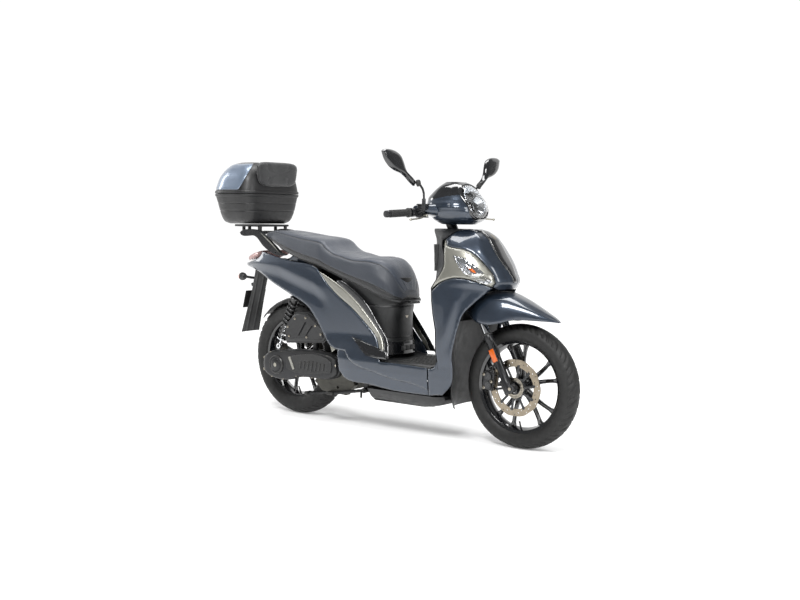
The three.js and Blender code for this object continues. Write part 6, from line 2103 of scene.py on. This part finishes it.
@dataclass
class PowerUnit:
    """Belt case, crankcase, air box, exhaust with its shield, hugger and cooling details."""

    def build(self) -> None:
        """Builds and finishes the swinging engine."""
        carried("engine_case", Look.ENGINE, "power_unit", 1.5)
        carried("rear_hugger", Look.BLACK, "power_unit", 1.2)
        self.belt_case()
        self.air_box()
        self.exhaust()

    def belt_case(self) -> None:
        """Cast belt cover: stepped rim, round clutch boss with its ring, a diagonal rib and screws."""
        outline = curve([
            (-798, 262), (-786, 312), (-742, 338), (-690, 343), (-640, 352), (-330, 350), (-290, 334),
            (-284, 262), (-310, 236), (-452, 222), (-548, 222), (-590, 204), (-640, 194), (-722, 198),
            (-786, 226),
        ], 7, corner=60)
        middle = outline.mean(0)
        rings = []
        for y, scale in (
            (-128.6, 0.99), (-129, 1.0), (-150, 1.0), (-153, 0.985), (-154, 0.97), (-164, 0.955),
            (-170, 0.935), (-174, 0.9), (-175.5, 0.8), (-176, 0.55),
        ):
            rings.append([
                (x, y, z)
                for x, z in middle + (outline - middle) * np.array([1 - (1 - scale) * 0.55, scale])
            ])
        case = loft("belt_case", rings)
        place(case, "power_unit", Look.OLIVE, "belt_cover", angle=40)
        boss = turned(
            "clutch_boss",
            [(0, 0), (48, 0), (48, 6), (45, 9), (40, 9.5), (38, 7), (34, 7), (32, 10), (24, 12.4), (0, 13)],
            (-692, -174.5, 271), (0, -1, 0), 80,
        )
        place(boss, "power_unit", Look.OLIVE)
        hub = turned(
            "clutch_cap", [(0, 0), (9, 0), (10, 1.5), (8, 3), (0, 3)], (-692, -186, 271), (0, -1, 0), 32
        )
        place(hub, "power_unit", Look.CAST)
        lid = curve([
            (-612, 306), (-560, 330), (-330, 326), (-312, 300), (-318, 262), (-452, 246), (-560, 244),
            (-618, 262),
        ], 8, corner=60)
        place(plate("belt_case_lid", lid, -180.5, -174, "XZ", bevel=2.5), "power_unit", Look.OLIVE)
        slash = curve([(-604, 318), (-590, 322), (-560, 262), (-572, 256)], 6)
        place(plate("belt_case_slash", slash, -183, -179.5, "XZ", bevel=0.8), "power_unit", Look.SILVER)
        fins = [
            block(f"fin{k}", (-520 + k * 26, -181.4, 286), (9, 5, 52 - abs(k - 3) * 5), 14, 2)
            for k in range(7)
        ]
        place(joined("belt_case_fins", *fins), "power_unit", Look.OLIVE)
        screws = []
        for k, (x, z) in enumerate((
            (-782, 300), (-738, 328), (-660, 336), (-570, 342), (-460, 342), (-350, 340), (-298, 300),
            (-330, 246), (-450, 231), (-560, 228), (-650, 204), (-730, 210), (-784, 240),
        )):
            screws.append(
                turned(
                    f"screw{k}", [(0, 0), (7.5, 0), (7.5, 6), (6, 7.5), (3.4, 7.5), (3.4, 4.5), (0, 4.5)],
                    (x, -165, z), (0, -1, 0), 20,
                )
            )
        place(joined("belt_case_screws", *screws), "power_unit", Look.STEEL)

    def air_box(self) -> None:
        """Ribbed air filter box with its bolted lid and two long grooves."""
        carried("air_filter_box", Look.BLACK, "power_unit", 2.5)
        lid = curve([
            (-640, 476), (-584, 528), (-504, 536), (-432, 496), (-396, 460), (-392, 430), (-420, 420),
            (-560, 418), (-628, 412), (-650, 440),
        ], 8, corner=60)
        grooves = [
            curve([
                (-560 + k * 52, 430 + k * 4), (-548 + k * 52, 430 + k * 4), (-500 + k * 44, 500 - k * 16),
                (-512 + k * 44, 502 - k * 16),
            ], 6)
            for k in range(2)
        ]
        place(plate("air_box_lid", lid, -156.5, -151.2, "XZ", grooves, 1.8), "power_unit", Look.MATTE)
        screws = [
            turned(
                f"air_screw{k}", [(0, 0), (6, 0), (6, 3), (3, 3.5), (3, 2), (0, 2)], (x, -156, z),
                (0, -1, 0), 20,
            )
            for k, (x, z) in enumerate((
                (-630, 470), (-580, 516), (-506, 524), (-440, 488), (-404, 448), (-500, 426), (-620, 424),
            ))
        ]
        place(joined("air_box_screws", *screws), "power_unit", Look.STEEL)

    def exhaust(self) -> None:
        """Header pipe and silencer, with an end cap, a tail pipe and a heat shield."""
        carried("exhaust", Look.BLACK_STEEL, "power_unit", 1.5, 40)
        a, b = Vector((-548, 206, 262)), Vector((-905, 210, 398))
        way = (b - a).normalized()
        rings = []
        length = (b - a).length
        side = Vector((0, 1, 0))
        up = way.cross(side).normalized()
        for d in np.linspace(60, length - 40, 40):
            r = 56 + 3 * math.sin(math.pi * (d - 60) / (length - 100))
            rings.append([
                a + way * float(d) + side * math.cos(t) * r + up * math.sin(t) * r
                for t in np.linspace(-0.9, 1.15, 25)
            ])
        place(open_skin("heat_shield", rings, (0, 1, 0), 2.5), "power_unit", Look.MATTE, angle=50)
        cap = turned(
            "silencer_cap", [(0, 0), (40, 0), (47, -6), (50, -18), (50, -24), (0, -24)], b + way * 3, way,
            56,
        )
        tip = turned("tail_pipe", [(10, -6), (13, -6), (13, 20), (12, 21), (10.5, 20)], b + way * 3, way, 32)
        place(cap, "power_unit", Look.CHROME)
        place(tip, "power_unit", Look.STEEL)


@dataclass
class Shocks:
    """Twin rear shocks: top mounts, damper bodies, rods and smooth coil springs."""

    top: tuple = (-588, 640)
    foot: tuple = (-712, 362)
    half: float = 134
    turns: float = 9.5

    def build(self) -> None:
        """Builds both shocks."""
        t, f = Vector((self.top[0], 0, self.top[1])), Vector((self.foot[0], 0, self.foot[1]))
        way = (t - f).normalized()
        across = Vector((0, 1, 0))
        out = way.cross(across).normalized()
        for side, s in (("right", -1), ("left", 1)):
            carried(f"shock_body_{side}", Look.SPRING, "shock_upper", 1.0)
            carried(f"shock_rod_{side}", Look.CHROME, "shock_lower", 0.8)
            y = Vector((0, s * self.half, 0))
            low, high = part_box(f"shock_spring_{side}")
            lo, hi = (low.z * 1000 - f.z) / way.z + 6, (high.z * 1000 - f.z) / way.z - 6
            rings = []
            steps = int(self.turns * 22)
            for i in range(steps + 1):
                a = 2 * math.pi * self.turns * i / steps
                share = i / steps
                d = lo + (hi - lo) * share
                radial = out * math.cos(a) + across * math.sin(a)
                c = f + y + way * d + radial * 22.6
                rings.append([
                    c + radial * 4.0 * math.cos(k) + way * 4.0 * math.sin(k)
                    for k in np.linspace(0, 2 * np.pi, 10, endpoint=False)
                ])
            spring = loft(f"coil_{side}", rings)
            place(spring, "shock_lower", Look.SPRING, f"shock_spring_{side}", angle=60)
            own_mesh(spring)
            bolt = turned(
                f"shock_bolt_{side}", [(0, 0), (9, 0), (9, 5), (5, 6), (0, 6)],
                t + Vector((0, s * (self.half + 13), 0)), (0, s, 0), 6,
            )
            place(bolt, "chassis", Look.STEEL)


@dataclass
class FrameAndStands:
    """Frame tubes and both stands."""

    def build(self) -> None:
        """Finishes the carried frame pieces."""
        carried("main_frame", Look.BLACK_STEEL, "chassis", 0.8, 50)
        carried("centre_stand", Look.BLACK_STEEL, "stand_centre", 1.0, 50)
        carried("side_stand", Look.BLACK_STEEL, "stand_side", 1.0, 50)


# ------------------------------------------------------------------ studio
@dataclass
class Studio:
    """Pale seamless floor, soft boxes and the camera."""

    azimuth: float = 37.66
    elevation: float = 4.64
    distance: float = 5.2561
    target: tuple = (0.10188, 0.0, 0.63255)
    lens: float = 48.42
    roll: float = 0.55

    def build(self) -> None:
        """Sets up everything that isn't the machine."""
        bpy.ops.mesh.primitive_plane_add(size=60, location=(0, 0, 0))
        floor = bpy.context.active_object
        floor.name = "studio_floor"
        paper = Finish(
            "white_studio_paper", "paper", "#f4f4f4", "#f1f1f1", 0.85, 0.05, relief=0.02, wear=0.0,
            mottle_mm=900,
        )
        sheet = paper.material()
        glow = sheet.node_tree.nodes["Principled BSDF"]
        glow.inputs["Emission Color"].default_value = (1, 1, 1, 1)
        where = add_node(sheet.node_tree, "ShaderNodeTexCoord").outputs["Object"]
        away = add_node(
            sheet.node_tree, "ShaderNodeVectorMath", {0: where}, operation="LENGTH"
        ).outputs["Value"]
        far = add_node(
            sheet.node_tree, "ShaderNodeMapRange",
            {"Value": away, "From Min": 1.2, "From Max": 4.5, "To Min": 0.16, "To Max": 0.5},
        )
        sheet.node_tree.links.new(far.outputs[0], glow.inputs["Emission Strength"])
        floor.data.materials.append(sheet)
        self.backdrop()
        self.light("key_softbox", (1.6, -3.6, 4.2), (2.0, 1.6), 265)
        self.light("top_softbox", (-0.4, 0.3, 4.6), (3.6, 1.6), 170)
        self.light("rim_softbox", (-4.2, -1.2, 2.2), (0.9, 2.6), 60)
        self.light("front_softbox", (4.6, -0.9, 2.4), (1.2, 2.4), 90)
        world = bpy.data.worlds.new("studio_world")
        bpy.context.scene.world = world
        world.use_nodes = True
        world.node_tree.nodes["Background"].inputs[0].default_value = (1, 1, 1, 1)
        world.node_tree.nodes["Background"].inputs[1].default_value = 0.28
        bpy.context.scene.view_settings.view_transform = "Standard"
        self.camera()

    def backdrop(self) -> None:
        """A tall glowing sheet far behind the machine, so that floor and background meet in white."""
        a = math.radians(self.azimuth)
        bpy.ops.mesh.primitive_plane_add(
            size=1, location=(-math.sin(a) * 14, math.cos(a) * 14, 9), rotation=(math.pi / 2, 0, a)
        )
        wall = bpy.context.active_object
        wall.name = "studio_backdrop"
        wall.scale = (60, 22, 1)
        glow = bpy.data.materials.new("glowing_backdrop_sheet")
        glow.use_nodes = True
        glow.node_tree.nodes.clear()
        light = add_node(glow.node_tree, "ShaderNodeEmission", {"Color": (1, 1, 1, 1), "Strength": 1.05})
        add_node(glow.node_tree, "ShaderNodeOutputMaterial", {"Surface": light.outputs[0]})
        wall.data.materials.append(glow)

    def light(self, name: str, where: Sequence[float], size: tuple[float, float], watts: float) -> None:
        """One rectangular soft box aimed at the machine."""
        lamp = bpy.data.lights.new(name, "AREA")
        lamp.shape, lamp.size, lamp.size_y, lamp.energy = "RECTANGLE", size[0], size[1], watts
        obj = bpy.data.objects.new(name, lamp)
        obj.location = where
        obj.rotation_euler = (Vector((0, 0, 0.6)) - Vector(where)).to_track_quat("-Z", "Y").to_euler()
        bpy.context.scene.collection.objects.link(obj)

    def camera(self) -> None:
        """The camera at the product view's angle."""
        a, e, r = (math.radians(v) for v in (self.azimuth, self.elevation, self.roll))
        back = Vector((math.sin(a) * math.cos(e), -math.cos(a) * math.cos(e), math.sin(e)))
        right = Vector((math.cos(a), math.sin(a), 0))
        up = back.cross(right)
        right, up = right * math.cos(r) + up * math.sin(r), up * math.cos(r) - right * math.sin(r)
        lens = bpy.data.cameras.new("camera")
        lens.lens, lens.sensor_width = self.lens, 36
        obj = bpy.data.objects.new("camera", lens)
        turn = Matrix((right, up, back)).transposed().to_4x4()
        obj.matrix_world = Matrix.Translation(Vector(self.target) + back * self.distance) @ turn
        bpy.context.scene.collection.objects.link(obj)
        bpy.context.scene.camera = obj


def main() -> None:
    """Builds the machine piece by piece, then the studio."""
    logging.basicConfig(level=logging.INFO, format="%(message)s")
    front = Wheel("front", "front_wheel", FRONT, 283, 100, 72, 17, 130, -63)
    rear = Wheel("rear", "rear_wheel", REAR, 299, 120, 84, 19, 110, 78)
    for part in (
        FrameAndStands(), FrontBody(), RearBody(), FloorAndWell(), Seat(), TopBox(), ForkAndFender(), front,
        rear, HandlebarGroup(), PowerUnit(), Shocks(), Studio(),
    ):
        log.info("building %s", type(part).__name__)
        part.build()


if __name__ == "__main__":
    main()
